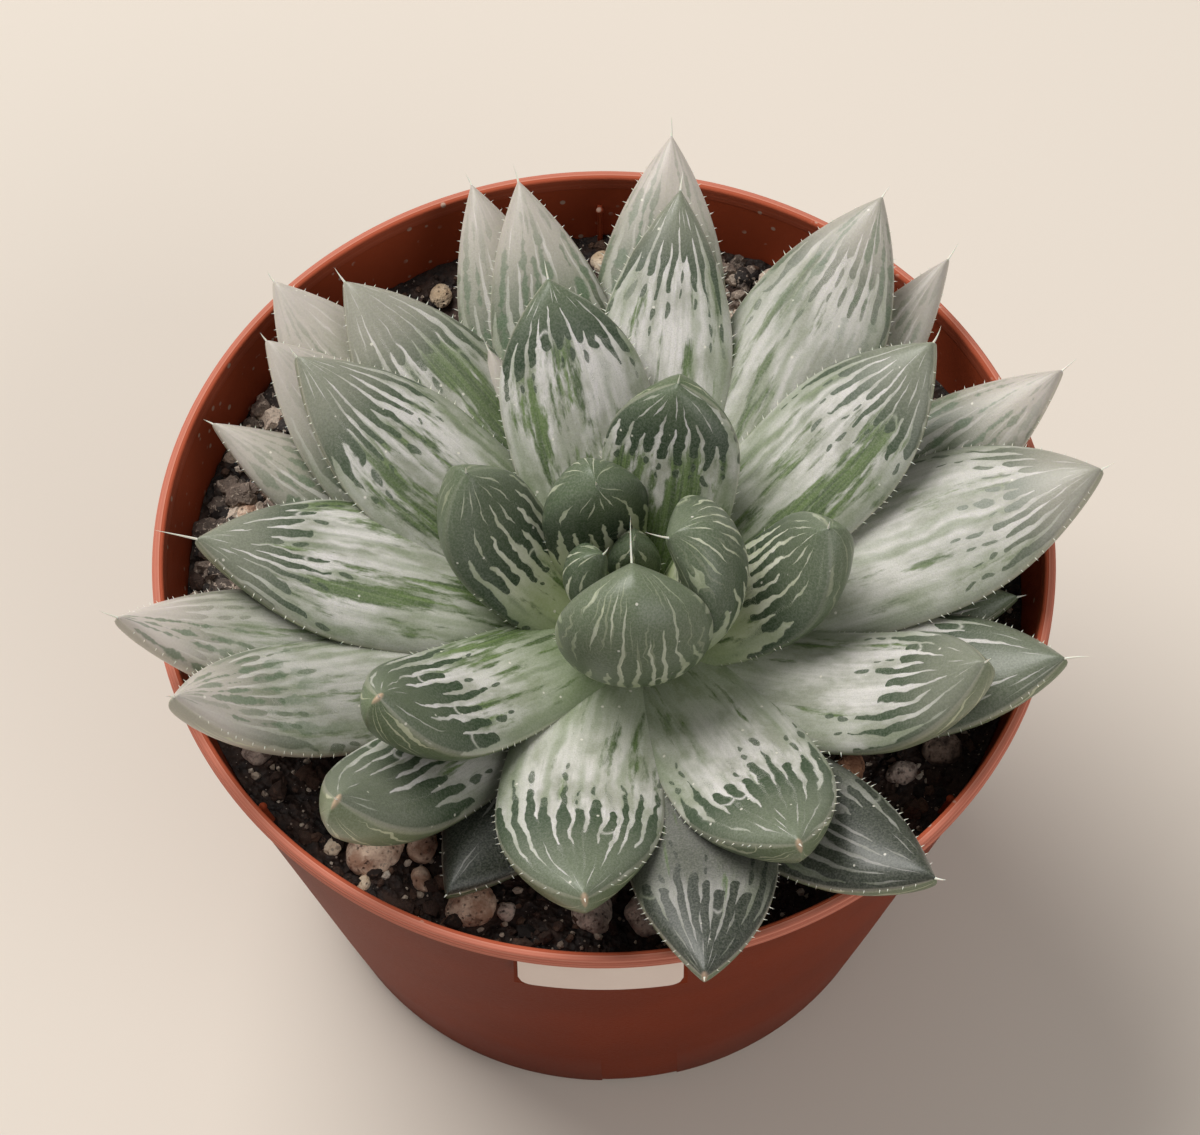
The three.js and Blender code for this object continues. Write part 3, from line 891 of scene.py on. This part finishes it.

# Leaves, from the heart outward and down, as the plain solid has them. Each row holds:
# turn, foot, length, width, thick, rise, lift, sway: the leaf's form, in degrees and millimetres
# blunt: how blunt its tip is
# reach: how far along the leaf the dark fingers start; depth: how dark they are
# streak: how strong its green streak is; place: on which side it lies, from -1 to 1
# pale: how milky the leaf is, or, where it is negative, how much painted shade darkens a leaf that lies in
# shadow
# bristle: length of the bristle at the tip, in millimetres; dry: 1 where the tip is dried brown
leafRows = [
    [90, 0.5, 9, 5, 4, 75, 90, 0, 2.0, 0.50, 1.0, 0.3, 0.0, 0.0, 1.0, 0],
    [-170, 2, 12, 7, 4, 60, 130, 0, 2.0, 0.55, 1.0, 0.3, 0.0, 0.0, 1.0, 0],
    [-92, 0, 20.5, 14.5, 7.5, 50, 150, 6, 2.8, 0.36, 0.75, 0.2, 0.3, 0.0, 4.6, 0],
    [-8, -1.5, 21, 13.5, 6.5, 56, 146, 22, 2.6, 0.60, 0.85, 0.3, 0.5, 0.0, 2.4, 0],
    [120, -1.5, 17.5, 10.5, 6.5, 47, 115, -12, 2.6, 0.52, 1.0, 0.4, 0.3, 0.0, 1.0, 0],
    [70, -2, 24.5, 13, 6.5, 40, 80, 12, 2.6, 0.70, 1.0, 0.9, -0.2, 0.0, 1.0, 0],
    [167, -3, 25, 11.5, 6.5, 32, 85, -32, 2.4, 0.46, 0.85, 0.3, -0.4, 0.0, 1.2, 0],
    [-2, -3.5, 25.5, 12, 6.5, 30, 85, 15, 2.4, 0.50, 0.8, 0.3, -0.5, 0.0, 1.0, 0],
    [-148, -1, 34, 12.5, 6, 10, 78, 8, 2.4, 0.56, 0.8, 0.6, -0.6, 0.0, 0.6, 1],
    [105, -3, 33, 14.5, 6, 24, 42, 0, 2.4, 0.77, 0.9, 0.4, 0.6, 0.0, 1.6, 0],
    [145, -4, 40, 14.5, 6.5, 18, 32, 0, 2.0, 0.73, 0.6, 0.9, 0.55, 0.15, 1.2, 0],
    [37, -3, 38, 14.5, 6, 20, 40, 0, 2.2, 0.74, 0.6, 0.8, -0.45, 0.1, 1.6, 0],
    [-112, -3, 36, 15.5, 6.5, 12, 40, 30, 2.2, 0.62, 0.7, 0.2, 0.9, 0.0, 0.7, 1],
    [-58, -3, 36, 14.5, 6, 14, 50, -14, 2.2, 0.63, 0.65, 0.2, 0.75, 0.0, 0.7, 1],
    [-31, -4, 38.5, 13, 6.5, 12, 62, 22, 2.6, 0.70, 0.6, 0.15, 0.5, 0.1, 1.0, 0],
    [169, -4, 41.5, 15, 6.5, 14, 28, 12, 2.0, 0.75, 0.65, 0.6, 0.35, 0.1, 4.2, 0],
    [15.5, -5, 46, 16.5, 6.5, 15, 32, -8, 2.2, 0.79, 0.45, 0.3, 0.7, 0.35, 1.2, 0],
    [83, -5, 42, 13, 5.5, 20, 32, 0, 2.0, 0.80, 0.7, 0.35, -0.8, 0.1, 1.6, 0],
    [58, -6, 47.5, 15.5, 6, 18, 32, 0, 2.2, 0.80, 0.5, 0.4, 0.75, 0.5, 1.2, 0],
    [125, -6, 43, 14.5, 6, 16, 30, 12, 2.2, 0.72, 0.5, 0.9, -0.3, 0.3, 1.4, 0],
    [104, -6, 45, 12.5, 5.5, 16, 28, 0, 2.0, 0.66, 0.4, 0.5, -0.3, 0.65, 1.6, 0],
    [-165, -5, 48, 12.5, 6.5, 9, 52, 10, 2.4, 0.76, 0.35, 0.35, 0.2, 0.75, 1.6, 0],
    [-145, -5, 43, 11.5, 7, 6, 72, 20, 2.6, 0.60, 0.45, 0.2, 0.4, -0.15, 0.6, 1],
    [147, -6, 44, 14, 5.5, 14, 28, -8, 2.0, 0.64, 0.25, 0.4, 0.4, 0.75, 1.0, 0],
    [28, -7, 47, 12.5, 5.5, 14, 28, 0, 2.0, 0.70, 0.4, 0.4, -0.3, 0.8, 1.6, 0],
    [85, -7, 49, 13, 5.5, 15, 28, 0, 2.2, 0.70, 0.35, 0.2, -0.4, 0.85, 1.8, 0],
    [-63, -5, 42, 12.5, 6, 12, 28, 29, 2.2, 0.66, 0.6, 0.2, -0.6, -0.75, 1.6, 0],
    [-17, -6, 41.5, 13.5, 6, 10, 36, 10, 2.2, 0.66, 0.5, 0.2, -0.2, -0.2, 2.4, 0],
    [-174, -7, 50, 12.5, 6, 11, 40, 0, 2.0, 0.80, 0.3, 0.2, 0.2, 0.95, 1.8, 0],
    [-70, -5, 41.8, 14, 5.5, 15, 22, -25, 2.2, 0.74, 0.9, 0.1, 0.3, -0.74, 0.8, 1],
    [140, -7, 48, 14, 5.5, 12, 30, -8, 2.2, 0.64, 0.25, 0.5, -0.3, 0.8, 1.0, 0],
    [109, -7, 47, 12, 5, 12, 26, 0, 2.0, 0.64, 0.4, 0.4, 0.2, 0.7, 1.2, 0],
    [49, -7, 47, 9.5, 5, 11, 28, 0, 2.0, 0.64, 0.4, 0.2, 0.2, 0.7, 1.6, 0],
    [154, -7, 44, 10, 5, 10, 22, 0, 2.0, 0.64, 0.35, 0.4, 0.2, 0.7, 0.8, 0],
    [-122, -5, 32, 12, 5, 4, 14, 0, 1.8, 0.56, 1.0, 0.0, 0.2, -0.8, 0.6, 0],
    [-128, -5, 23, 9, 4.5, 4, 14, 0, 1.8, 0.50, 1.0, 0.0, 0.2, -0.8, 0.6, 0],
    [3, -6, 35, 11, 5, 6, 16, 0, 1.8, 0.50, 0.9, 0.2, 0.2, 0.0, 0.8, 0],
    [117, -5, 30, 7, 4, 14, 28, 0, 1.8, 0.55, 0.3, 0.2, 0.2, 0.8, 0.8, 0],
    [-70, -5, 25, 7.5, 4, 8, 22, 0, 1.8, 0.50, 0.9, 0.0, 0.2, -0.7, 0.8, 0],
]
leafShape = {
    "stem": Vector((2.8, -7, 0)) * mm,
    "footRadius": 1.5 * mm,
    "footWidth": 0.62,
    "broadest": 0.6,
    "thickest": 0.65,
    "upperShare": 0.38,
    "tipSize": 0.16 * mm,
    "around": 40,
    "rings": 52,
    "tipCrowding": 1.3,
    "edgeSharpness": 1.2,
    "keel": 0.05,
    "keelWidth": 0.2,
    "keelFrom": 0.45,
    "keelTo": 0.85,
    "footThickness": 0.5,
    "tipFullness": 2.6,
    "steps": 60,
    "laneWidth": 2.9,       # in millimetres, like the rows' widths
    "hoods": {0: 1.0, 1: 1.0, 2: 0.8, 3: 1.0, 4: 1.0, 6: 0.7, 7: 0.7},      # curled leaves, by row
    "seed": 300,
}


# A leaf's form. Its middle line turns evenly from foot to tip and curves up more and more.
class LeafLine:
    def __init__(self, row):
        self.turn, self.foot, self.length, self.width, self.thick = row[:5]
        self.rise, self.lift, self.sway, self.blunt = row[5:9]
        start = math.radians(self.turn)
        spot = leafShape["stem"] + Vector((math.cos(start), math.sin(start), 0)) * leafShape["footRadius"]
        spot.z = rimHeight + self.foot * mm
        self.spots = [spot.copy()]
        steps = leafShape["steps"]
        for step in range(steps):
            spot = spot + self.along((step + 0.5) / steps) * (self.length * mm / steps)
            self.spots.append(spot.copy())

    def heading(self, s):
        return math.radians(self.turn + self.sway * s)

    def along(self, s):
        slope = math.radians(self.rise + (self.lift - self.rise) * s * s)
        heading = self.heading(s)
        level = math.cos(slope)
        return Vector((math.cos(heading) * level, math.sin(heading) * level, math.sin(slope)))

    def centre(self, s):
        place = min(max(s, 0.0), 1.0) * leafShape["steps"]
        first = min(int(place), leafShape["steps"] - 1)
        return self.spots[first].lerp(self.spots[first + 1], place - first)

    def side(self, s):
        return Vector((-math.sin(self.heading(s)), math.cos(self.heading(s)), 0))

    def halfWidth(self, s):
        broadest, foot = leafShape["broadest"], leafShape["footWidth"]
        swell = math.sin(math.pi / 2 * min(s / broadest, 1))
        past = max(0.0, (s - broadest) / (1 - broadest))
        width = self.width * mm * (foot + (1 - foot) * swell) * (1 - past ** self.blunt)
        return max(width, leafShape["tipSize"]) / 2

    def thickness(self, s):
        broadest, foot = leafShape["broadest"], leafShape["footThickness"]
        swell = foot + (1 - foot) * math.sin(math.pi / 2 * min(s / leafShape["thickest"], 1))
        past = max(0.0, (s - broadest) / (1 - broadest))
        fullness = math.sqrt(max(0.0, 1 - past ** leafShape["tipFullness"]))
        return max(self.thick * mm * swell * fullness, leafShape["tipSize"])

    # A point of the skin: s along the leaf, angle round its section, from one margin over the top
    def skin(self, s, angle):
        across, height = math.cos(angle), math.sin(angle)
        share = leafShape["upperShare"] if height > 0 else 1 - leafShape["upperShare"]
        lift = math.copysign(abs(height) ** leafShape["edgeSharpness"], height)
        if height < 0:
            keel = leafShape["keel"] * smoothStep(leafShape["keelFrom"], leafShape["keelTo"], s)
            lift -= keel * math.exp(-(across / leafShape["keelWidth"]) ** 2)
        side = self.side(s)
        top = self.along(s).cross(side)
        spot = self.centre(s) + side * (self.halfWidth(s) * across)
        return spot + top * (self.thickness(s) * share * lift)


# A leaf's own directions and looks as numbers over its surface: across from -1 to 1, along from 0 at the
# foot to 1 at the tip, and upper from -1 below to 1 on top. Cream veins run from foot to tip with a lane
# between two of them: offset is 0 in the middle of a lane, and fromVein is 0 on a vein.
class LeafFields:
    def __init__(self, tree):
        self.tree = tree
        self.place = objectPlace(tree)
        self.across, self.along, self.upper = readAttribute(tree, "leafPlace")
        self.seed, self.reach, self.depth = readAttribute(tree, "leafLook")
        self.streak, self.streakPlace, pale = readAttribute(tree, "leafTintAndShade")
        self.dry, self.lanes, self.hood = readAttribute(tree, "leafMore")
        self.milky = pale.calc("MAXIMUM", 0.0)
        # where pale is negative it gives painted shade, darkening a leaf that lies in shadow
        self.paintedShade = (pale * -1).calc("MAXIMUM", 0.0)
        self.plain = pale.ramp(0.6, 0.95)
        self.span = self.reach.flip()
        self.inWindow = (self.along - self.reach) / self.span
        self.sway = self.noise(1.4, 4, 0) - 0.5
        self.kink = self.noise(5, 17, 3) - 0.5
        self.wander = self.noise(3.2, 3.4, 5)
        self.patchy = self.noise(8, 9, 11, 4, 0.65)
        self.thread = self.noise(20, 3.4, 0, 3, 0.6)
        self.cloud = self.noise(3, 7, 23, 3, 0.6)
        lines = (self.across + self.sway * 0.32 + self.kink * 0.14) * self.lanes + self.seed * 3.7
        self.lane = lines.calc("FLOOR")
        self.vein = (lines + 0.5).calc("FLOOR")
        self.offset = (lines - self.lane - 0.5).calc("ABSOLUTE")
        self.fromVein = self.offset * -1 + 0.5
        startDraw, self.dropDraw, self.sizeDraw = self.draws(self.lane, 0)
        self.stripeDraw, self.greenDraw, _ = self.draws(self.lane, 67)
        self.start = self.reach + (startDraw - 0.5) * 0.12 - self.across * self.across * 0.06

    # Noise stretched along the leaf, different on each leaf and for each shift
    def noise(self, across, along, shift, detail=2, roughness=0.5):
        spot = vectorOf(self.tree, self.across * across, self.along * along, self.seed + shift)
        return noiseField(self.tree, spot, 1.0, detail, roughness)

    def draws(self, line, shift):
        return randomFields(self.tree, line, self.seed + shift)


# Dark fingers with round ends reach from the tip towards the foot between pointed veins
def windowFingers(leaf):
    along, reach = leaf.along, leaf.reach
    endDraw, widthDraw, _ = leaf.draws(leaf.vein, 31)
    veinEnd = reach + leaf.span * (endDraw * 0.55 + 0.22)
    taper = ((veinEnd - along) / (veinEnd - reach + 0.06)).calc("MINIMUM", 1.0).calc("MAXIMUM", 0.0)
    ragged = leaf.noise(9, 30, 8) - 0.5
    veinWidth = widthDraw * 0.14 + 0.33 - leaf.depth * 0.08 - leaf.paintedShade * 0.1 + ragged * 0.24
    veinWidth = taper ** 1.7 * veinWidth + taper.ramp(0.0, 0.2) * 0.06
    pastVein = taper.ramp(0.06, 0.0) * 0.3
    room = ((along - leaf.start) * 20).calc("MINIMUM", 1.0).calc("MAXIMUM", 0.0) ** 0.5 * 0.8
    inside = (leaf.fromVein - veinWidth + pastVein).calc("SMOOTH_MIN", room - leaf.offset, 0.1)
    return inside.ramp(0.0, 0.07)


# Lone drops of window lie in the white before some fingers
def windowDrops(leaf):
    before, size, draw = leaf.along - leaf.start, leaf.sizeDraw, leaf.dropDraw
    place = (before + size * 0.02 + 0.024) / (size * 0.014 + 0.01)
    side = leaf.offset / (size * 0.12 + 0.1)
    nextPlace = (before + size * 0.03 + 0.06) / (draw * 0.006 + 0.007)
    drop = (place * place + side * side).ramp(1.25, 0.75) * draw.ramp(0.4, 0.42)
    nextDrop = (nextPlace * nextPlace + side * side * 2).ramp(1.25, 0.75) * draw.ramp(0.7, 0.72)
    return drop.calc("MAXIMUM", nextDrop)


# Thin arcs close other fingers
def windowArcs(leaf):
    place = leaf.start + leaf.span * (leaf.sizeDraw * 0.12 + 0.16) - leaf.offset * leaf.offset * 0.07
    return leaf.along.bell(place, 0.0055) * leaf.dropDraw.ramp(0.14, 0.12)


# Short pale dashes float in the plain window near the tip, and finer ones fan out close to it
def windowDashes(leaf):
    along, reach, span, depth, hood = leaf.along, leaf.reach, leaf.span, leaf.depth, leaf.hood
    _, widthDraw, placeDraw = leaf.draws(leaf.vein, 31)
    dashDraw, _, _ = leaf.draws(leaf.vein, 53)
    place = reach + span * (placeDraw * 0.42 + 0.44 + hood * 0.06)
    room = along.bell(place, span * 0.1) * (widthDraw * 0.08 + 0.06 + depth * 0.03)
    share = dashDraw + depth * 0.3 + hood * 0.2
    dash = (room - leaf.fromVein).ramp(0.0, 0.03) * share.ramp(0.64, 0.66)
    fanPlace, fanWidth, fanShare = leaf.draws(leaf.vein, 97)
    room = along.bell(reach + span * (fanPlace * 0.25 + 0.66), span * 0.075) * (fanWidth * 0.07 + 0.08)
    fan = (room - leaf.fromVein).ramp(0.0, 0.03) * (fanShare - leaf.paintedShade * 0.4).ramp(0.4, 0.42)
    return dash.calc("MAXIMUM", fan * leaf.milky.flip())


# Saturated green streaks with ragged edges
def greenStreaks(leaf):
    lengthwise = leaf.along.ramp(0.0, 0.12) * leaf.along.ramp(leaf.start + 0.14, leaf.start - 0.02)
    level = leaf.across.bell(leaf.streakPlace, 0.34) * 0.13 + 0.075
    broad = leaf.noise(4.2, 2.2, 41) * 0.56 + leaf.patchy * 0.44 + level * leaf.streak * 1.15 - 0.02
    thin = leaf.greenDraw.ramp(0.5, 0.85) * leaf.offset.ramp(0.45, 0.15) * leaf.streak
    thin = thin * leaf.wander.ramp(0.4, 0.56)
    return (broad.ramp(0.56, 0.66) * lengthwise).calc("MAXIMUM", thin * lengthwise * 0.6)


# Soft dotted rows of green show through the milky leaves
def greenDots(leaf):
    spot = vectorOf(leaf.tree, leaf.lane * 3.1 + leaf.across, leaf.along * 20, leaf.seed + 61)
    beads = noiseField(leaf.tree, spot, 1.0, 3, 0.6)
    dots = (beads - leaf.offset * 0.5).ramp(0.38, 0.48) * leaf.greenDraw.ramp(0.15, 0.4)
    return dots * leaf.along.bell(leaf.reach + 0.08, 0.17) * leaf.milky.ramp(0.3, 0.6)


def greenBlotch(leaf):
    spot = leaf.across.bell(leaf.streakPlace * 0.6, 0.4) * leaf.along.bell(0.55, 0.26)
    return spot * leaf.patchy.ramp(0.42, 0.6) * leaf.plain


# White with faint threads and stripes, greener towards the foot and the sides
def whiteColour(leaf):
    tree, along, hood = leaf.tree, leaf.along, leaf.hood
    frost = noiseField(tree, leaf.place, 9.5, 2, 0.7)
    stripe = leaf.fromVein.ramp(0.06, 0.42) * leaf.stripeDraw.ramp(0.25, 0.9)
    stripe = stripe * along.ramp(0.0, 0.2) * leaf.wander.ramp(0.35, 0.62)
    sides = leaf.across.calc("ABSOLUTE").ramp(0.4, 1.0) * leaf.wander.ramp(0.25, 0.6)
    return layColours(
        tree,
        mixColour(tree, leaf.cloud.ramp(0.32, 0.6), rgb(160, 160, 150), rgb(214, 210, 208)),
        (leaf.thread.ramp(0.62, 0.3) * 0.24, rgb(140, 144, 124)),
        (frost.ramp(0.56, 0.3) * 0.34, rgb(120, 126, 104)),
        (along.ramp(0.7, 0.15) * (leaf.streak * 0.25 + 0.45), rgb(116, 134, 90)),
        (along.ramp(0.46, 0.1) * (leaf.streak * 0.55 + 0.25), rgb(82, 110, 40)),
        (hood * 0.5, rgb(206, 212, 170)),
        # the feet of the curled heart leaves are painted lighter yellow-green: painted light shining
        # through them
        (hood * along.ramp(0.62, 0.3) * 0.55, rgb(148, 166, 96)),
        (sides * 0.6, rgb(110, 126, 90)),
        (stripe * 0.55, rgb(122, 134, 104)),
        # painted shade darkens the white of leaves that lie in shadow
        (leaf.paintedShade * (leaf.inWindow.ramp(0.2, -0.15) * 0.4 + 0.8), rgb(56, 60, 50)),
    )


# Windows are darkest at the fingers' round ends and paler towards the tip
def windowColour(leaf):
    tree, inWindow = leaf.tree, leaf.inWindow
    pale = mixColour(tree, inWindow.ramp(0.05, 0.6), rgb(54, 76, 46), rgb(130, 135, 117))
    dark = mixColour(tree, inWindow.ramp(0.1, 1.0), rgb(36, 56, 32), rgb(82, 96, 70))
    return layColours(
        tree,
        mixColour(tree, leaf.depth, pale, dark),
        (leaf.milky * inWindow.ramp(0.05, 0.6), rgb(158, 154, 142)),
        # painted shade darkens the windows of leaves that lie in shadow
        (leaf.paintedShade * 1.2, rgb(34, 40, 32)),
    )


# The underside is plainer, with short cream lines near the tip
def undersideColour(leaf):
    tree, along = leaf.tree, leaf.along
    lines = (leaf.across + leaf.sway * 0.34 + leaf.kink * 0.2) * leaf.lanes * 1.9 + leaf.seed
    line = (lines + 0.5).calc("FLOOR")
    fromLine = (lines - line).calc("ABSOLUTE")
    farDraw, thickDraw, longDraw = leaf.draws(line, 89)
    room = along.bell(farDraw * 0.32 + 0.64, longDraw * 0.05 + 0.03) * (thickDraw * 0.14 + 0.09)
    pale = mixColour(tree, along.ramp(0.1, 0.8), rgb(126, 140, 92), rgb(120, 128, 98))
    dark = mixColour(tree, along.ramp(0.1, 0.9), rgb(92, 114, 56), rgb(76, 94, 60))
    return layColours(
        tree,
        mixColour(tree, leaf.depth, pale, dark),
        (leaf.milky, rgb(184, 177, 164)),
        ((room - fromLine).ramp(-0.01, 0.03) * 0.75, rgb(192, 194, 162)),
    )


def leafFlesh():
    material, tree, shader = newMaterial("variegatedLeaf")
    leaf = LeafFields(tree)
    along, hood = leaf.along, leaf.hood
    window = windowFingers(leaf) * windowArcs(leaf).flip() * (windowDashes(leaf) * 0.8).flip()
    window = window.calc("MAXIMUM", windowDrops(leaf) * 0.9)
    leafGreen = mixColour(tree, leaf.thread.ramp(0.3, 0.7), rgb(44, 68, 20), rgb(92, 116, 56))
    # milky outer leaves are veiled towards the tip
    veilPlace = along.ramp(0.68, 0.97) + (leaf.cloud - 0.5) * 0.6
    veil = mixColour(tree, veilPlace, rgb(124, 129, 110), rgb(210, 198, 192))
    under = leaf.upper.ramp(0.02, -0.12) * (hood * 0.85).flip()
    margin = leaf.across.calc("ABSOLUTE").ramp(0.975, 0.995) * hood.flip()
    dust = voronoiField(tree, leaf.place, 0.42).ramp(0.07, 0.045)
    speckle = noiseField(tree, leaf.place, 5.2, 2, 0.6)
    dryTip = leaf.dry * along.ramp(0.988, 0.998)
    colour = layColours(
        tree,
        whiteColour(leaf),
        (greenStreaks(leaf) * 0.95, leafGreen),
        (window, windowColour(leaf)),
        (leaf.milky * along.ramp(0.3, 0.8) * 0.68, veil),
        (greenBlotch(leaf) * 0.6, rgb(96, 116, 78)),
        (greenDots(leaf) * 0.7, rgb(72, 98, 66)),
        (under * 0.95, undersideColour(leaf)),
        (margin * 0.24, rgb(202, 198, 180)),
        (dust * 0.7, rgb(224, 220, 208)),
        (speckle.ramp(0.3, 0.75) * 0.1, rgb(228, 226, 214)),
        (dryTip * 0.75, rgb(196, 164, 138)),
    )
    tree.links.new(colour, shader.inputs["Base Color"])
    plug(tree, shader.inputs["Roughness"], speckle * 0.1 + window * -0.14 + 0.5)
    shader.inputs["Specular IOR Level"].default_value = 0.36
    shader.inputs["Subsurface Weight"].default_value = 0.18
    shader.inputs["Subsurface Radius"].default_value = (0.8, 1.0, 0.5)
    shader.inputs["Subsurface Scale"].default_value = 0.5 * mm
    plug(tree, shader.inputs["Coat Weight"], window * 0.2 + 0.05)
    shader.inputs["Coat Roughness"].default_value = 0.28
    addBump(tree, shader, speckle * 0.35 + leaf.thread * 0.3, 0.07 * mm)
    return material


def bristleHorn():
    material, tree, shader = newMaterial("creamBristle")
    tone = noiseField(tree, objectPlace(tree), 0.8, 2)
    colour = mixColour(tree, tone, rgb(222, 222, 206), rgb(238, 236, 224))
    tree.links.new(colour, shader.inputs["Base Color"])
    shader.inputs["Roughness"].default_value = 0.45
    shader.inputs["Subsurface Weight"].default_value = 0.1
    shader.inputs["Subsurface Scale"].default_value = 0.4 * mm
    return material


# A slim spike from foot along a direction, bending by bend on its way
def addSpike(points, faces, foot, direction, bend, length, radius, sides, rings):
    first = len(points)
    side = direction.cross(bend if bend.length > 0 else Vector((0, 0, 1)))
    if side.length < 1e-6:
        side = direction.orthogonal()
    side.normalize()
    other = direction.cross(side).normalized()
    for ring in range(rings):
        share = ring / rings
        spot = foot + direction * (length * share) + bend * (length * share * share)
        thin = radius * (1 - share) ** 0.8
        for corner in range(sides):
            angle = math.tau * corner / sides
            points.append(spot + side * (thin * math.cos(angle)) + other * (thin * math.sin(angle)))
    points.append(foot + direction * length + bend * length)
    for ring in range(rings - 1):
        for corner in range(sides):
            a = first + ring * sides + corner
            b = first + ring * sides + (corner + 1) % sides
            faces.append((a, b, b + sides, a + sides))
    tip = len(points) - 1
    last = first + (rings - 1) * sides
    for corner in range(sides):
        faces.append((last + corner, last + (corner + 1) % sides, tip))
    faces.append(tuple(first + corner for corner in reversed(range(sides))))


# Teeth along the leaf's margins: from and to are shares of its length, and a leaf whose tip is steeper
# than curled, in degrees, has them only as far as curledTo
toothShape = {
    "spacing": 1.0 * mm,
    "least": 0.22 * mm,
    "most": 0.65 * mm,
    "radius": 0.085 * mm,
    "root": 0.2 * mm,
    "lean": (0.3, 0.8),
    "unevenness": (0.6, 1.4),
    "from": 0.2,
    "fromSpread": 0.02,
    "to": 0.97,
    "curledTo": 0.6,
    "curled": 60,
}
bristleShape = {"radius": 0.13 * mm, "root": 0.4 * mm, "sideBend": 0.2, "upBend": 0.25}


def leafTeeth(line, rng, bristle):
    points, faces = [], []
    tooth = toothShape
    lastTooth = tooth["curledTo"] if line.lift > tooth["curled"] else tooth["to"]
    for angle in (0.0, math.pi):
        s = tooth["from"] + rng.random() * tooth["fromSpread"]
        while s < lastTooth:
            out = line.side(s) * (1 if angle == 0 else -1)
            foot = line.skin(s, angle) - out * tooth["root"]
            direction = (out + line.along(s) * rng.uniform(*tooth["lean"])).normalized()
            middle = math.sin(math.pi * (s - tooth["from"]) / (1 - tooth["from"]))
            length = tooth["least"] + (tooth["most"] - tooth["least"]) * rng.random() * middle
            length += tooth["root"]
            addSpike(points, faces, foot, direction, Vector(), length, tooth["radius"], 4, 1)
            s += tooth["spacing"] * rng.uniform(*tooth["unevenness"]) / (line.length * mm)
    spike = bristleShape
    side = spike["sideBend"]
    bend = Vector((rng.uniform(-side, side), rng.uniform(-side, side), rng.uniform(0.0, spike["upBend"])))
    direction = line.along(1.0)
    foot = line.centre(1.0) - direction * spike["root"]
    length = bristle * mm + spike["root"]
    addSpike(points, faces, foot, direction, bend, length, spike["radius"], 5, 5)
    return points, faces


def makeLeaf(index, row, materials):
    line = LeafLine(row)
    reach, depth, streak, streakPlace, pale, bristle, dry = row[9:]
    rng = random.Random(leafShape["seed"] + index)
    seed = round(rng.uniform(1, 40), 2)
    clearSelection()
    around, rings = leafShape["around"], leafShape["rings"]
    bpy.ops.mesh.primitive_uv_sphere_add(segments=around, ring_count=rings, radius=1)
    leaf = bpy.context.object
    places = []
    for vertex in leaf.data.vertices:
        polar = math.acos(max(-1.0, min(1.0, -vertex.co.z))) / math.pi
        s = 1 - (1 - polar) ** leafShape["tipCrowding"]
        angle = math.atan2(vertex.co.y, vertex.co.x)
        if abs(vertex.co.z) > 0.9999:       # foot or tip
            vertex.co = line.centre(s)
            places.append((0.0, s, 0.0))
        else:
            places.append((math.cos(angle), s, math.sin(angle)))
            vertex.co = line.skin(s, angle)
    flesh = len(leaf.data.polygons)
    points, faces = leafTeeth(line, rng, bristle)
    teeth = meshFrom("teeth", points, faces)
    places += [(1.0, 1.0, 0.0)] * len(points)
    leaf = joinPieces([leaf, teeth])
    count = len(leaf.data.vertices)
    setAttribute(leaf, "leafPlace", places)
    setAttribute(leaf, "leafLook", [(seed, reach, depth)] * count)
    setAttribute(leaf, "leafTintAndShade", [(streak, streakPlace, pale)] * count)
    lanes = line.width / leafShape["laneWidth"]
    hood = leafShape["hoods"].get(index, 0.0)
    setAttribute(leaf, "leafMore", [(float(dry), lanes, hood)] * count)
    finishPiece(leaf, f"leaf{index + 1:02d}", materials, "leaf", "rosette", smoothAngle=60)
    for polygon in leaf.data.polygons:
        polygon.material_index = 0 if polygon.index < flesh else 1


stemShape = {
    "foot": rimHeight - 12 * mm,
    "top": rimHeight - 1 * mm,
    "footRadius": 3 * mm,
    "radius": 4.5 * mm,
    "lumpSize": 2 * mm,
    "lumpHeight": 0.4 * mm,
}


def stemBark():
    material, tree, shader = newMaterial("stemBark")
    bark = noiseField(tree, objectPlace(tree), 0.8, 4)
    colour = mixColour(tree, bark, rgb(96, 104, 66), rgb(142, 140, 104))
    tree.links.new(colour, shader.inputs["Base Color"])
    shader.inputs["Roughness"].default_value = 0.75
    return material


def makeStem(shape):
    clearSelection()
    low, high = shape["foot"], shape["top"]
    spot = (leafShape["stem"].x, leafShape["stem"].y, (low + high) / 2)
    bpy.ops.mesh.primitive_cone_add(
        vertices=32, radius1=shape["footRadius"], radius2=shape["radius"], depth=high - low, location=spot
    )
    stem = bpy.context.object
    settle(stem)
    startEdit()
    bpy.ops.mesh.subdivide(number_cuts=3)
    bpy.ops.object.mode_set(mode="OBJECT")
    for vertex in stem.data.vertices:
        vertex.co += vertex.normal * noise.noise(vertex.co / shape["lumpSize"]) * shape["lumpHeight"]
    finishPiece(stem, "shortStem", [stemBark()], "leaf", "rosette")


print("leaves")
leafMaterials = [leafFlesh(), bristleHorn()]
for leafIndex, leafRow in enumerate(leafRows):
    makeLeaf(leafIndex, leafRow, leafMaterials)
makeStem(stemShape)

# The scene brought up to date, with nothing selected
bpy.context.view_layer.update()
clearSelection()
print("done")
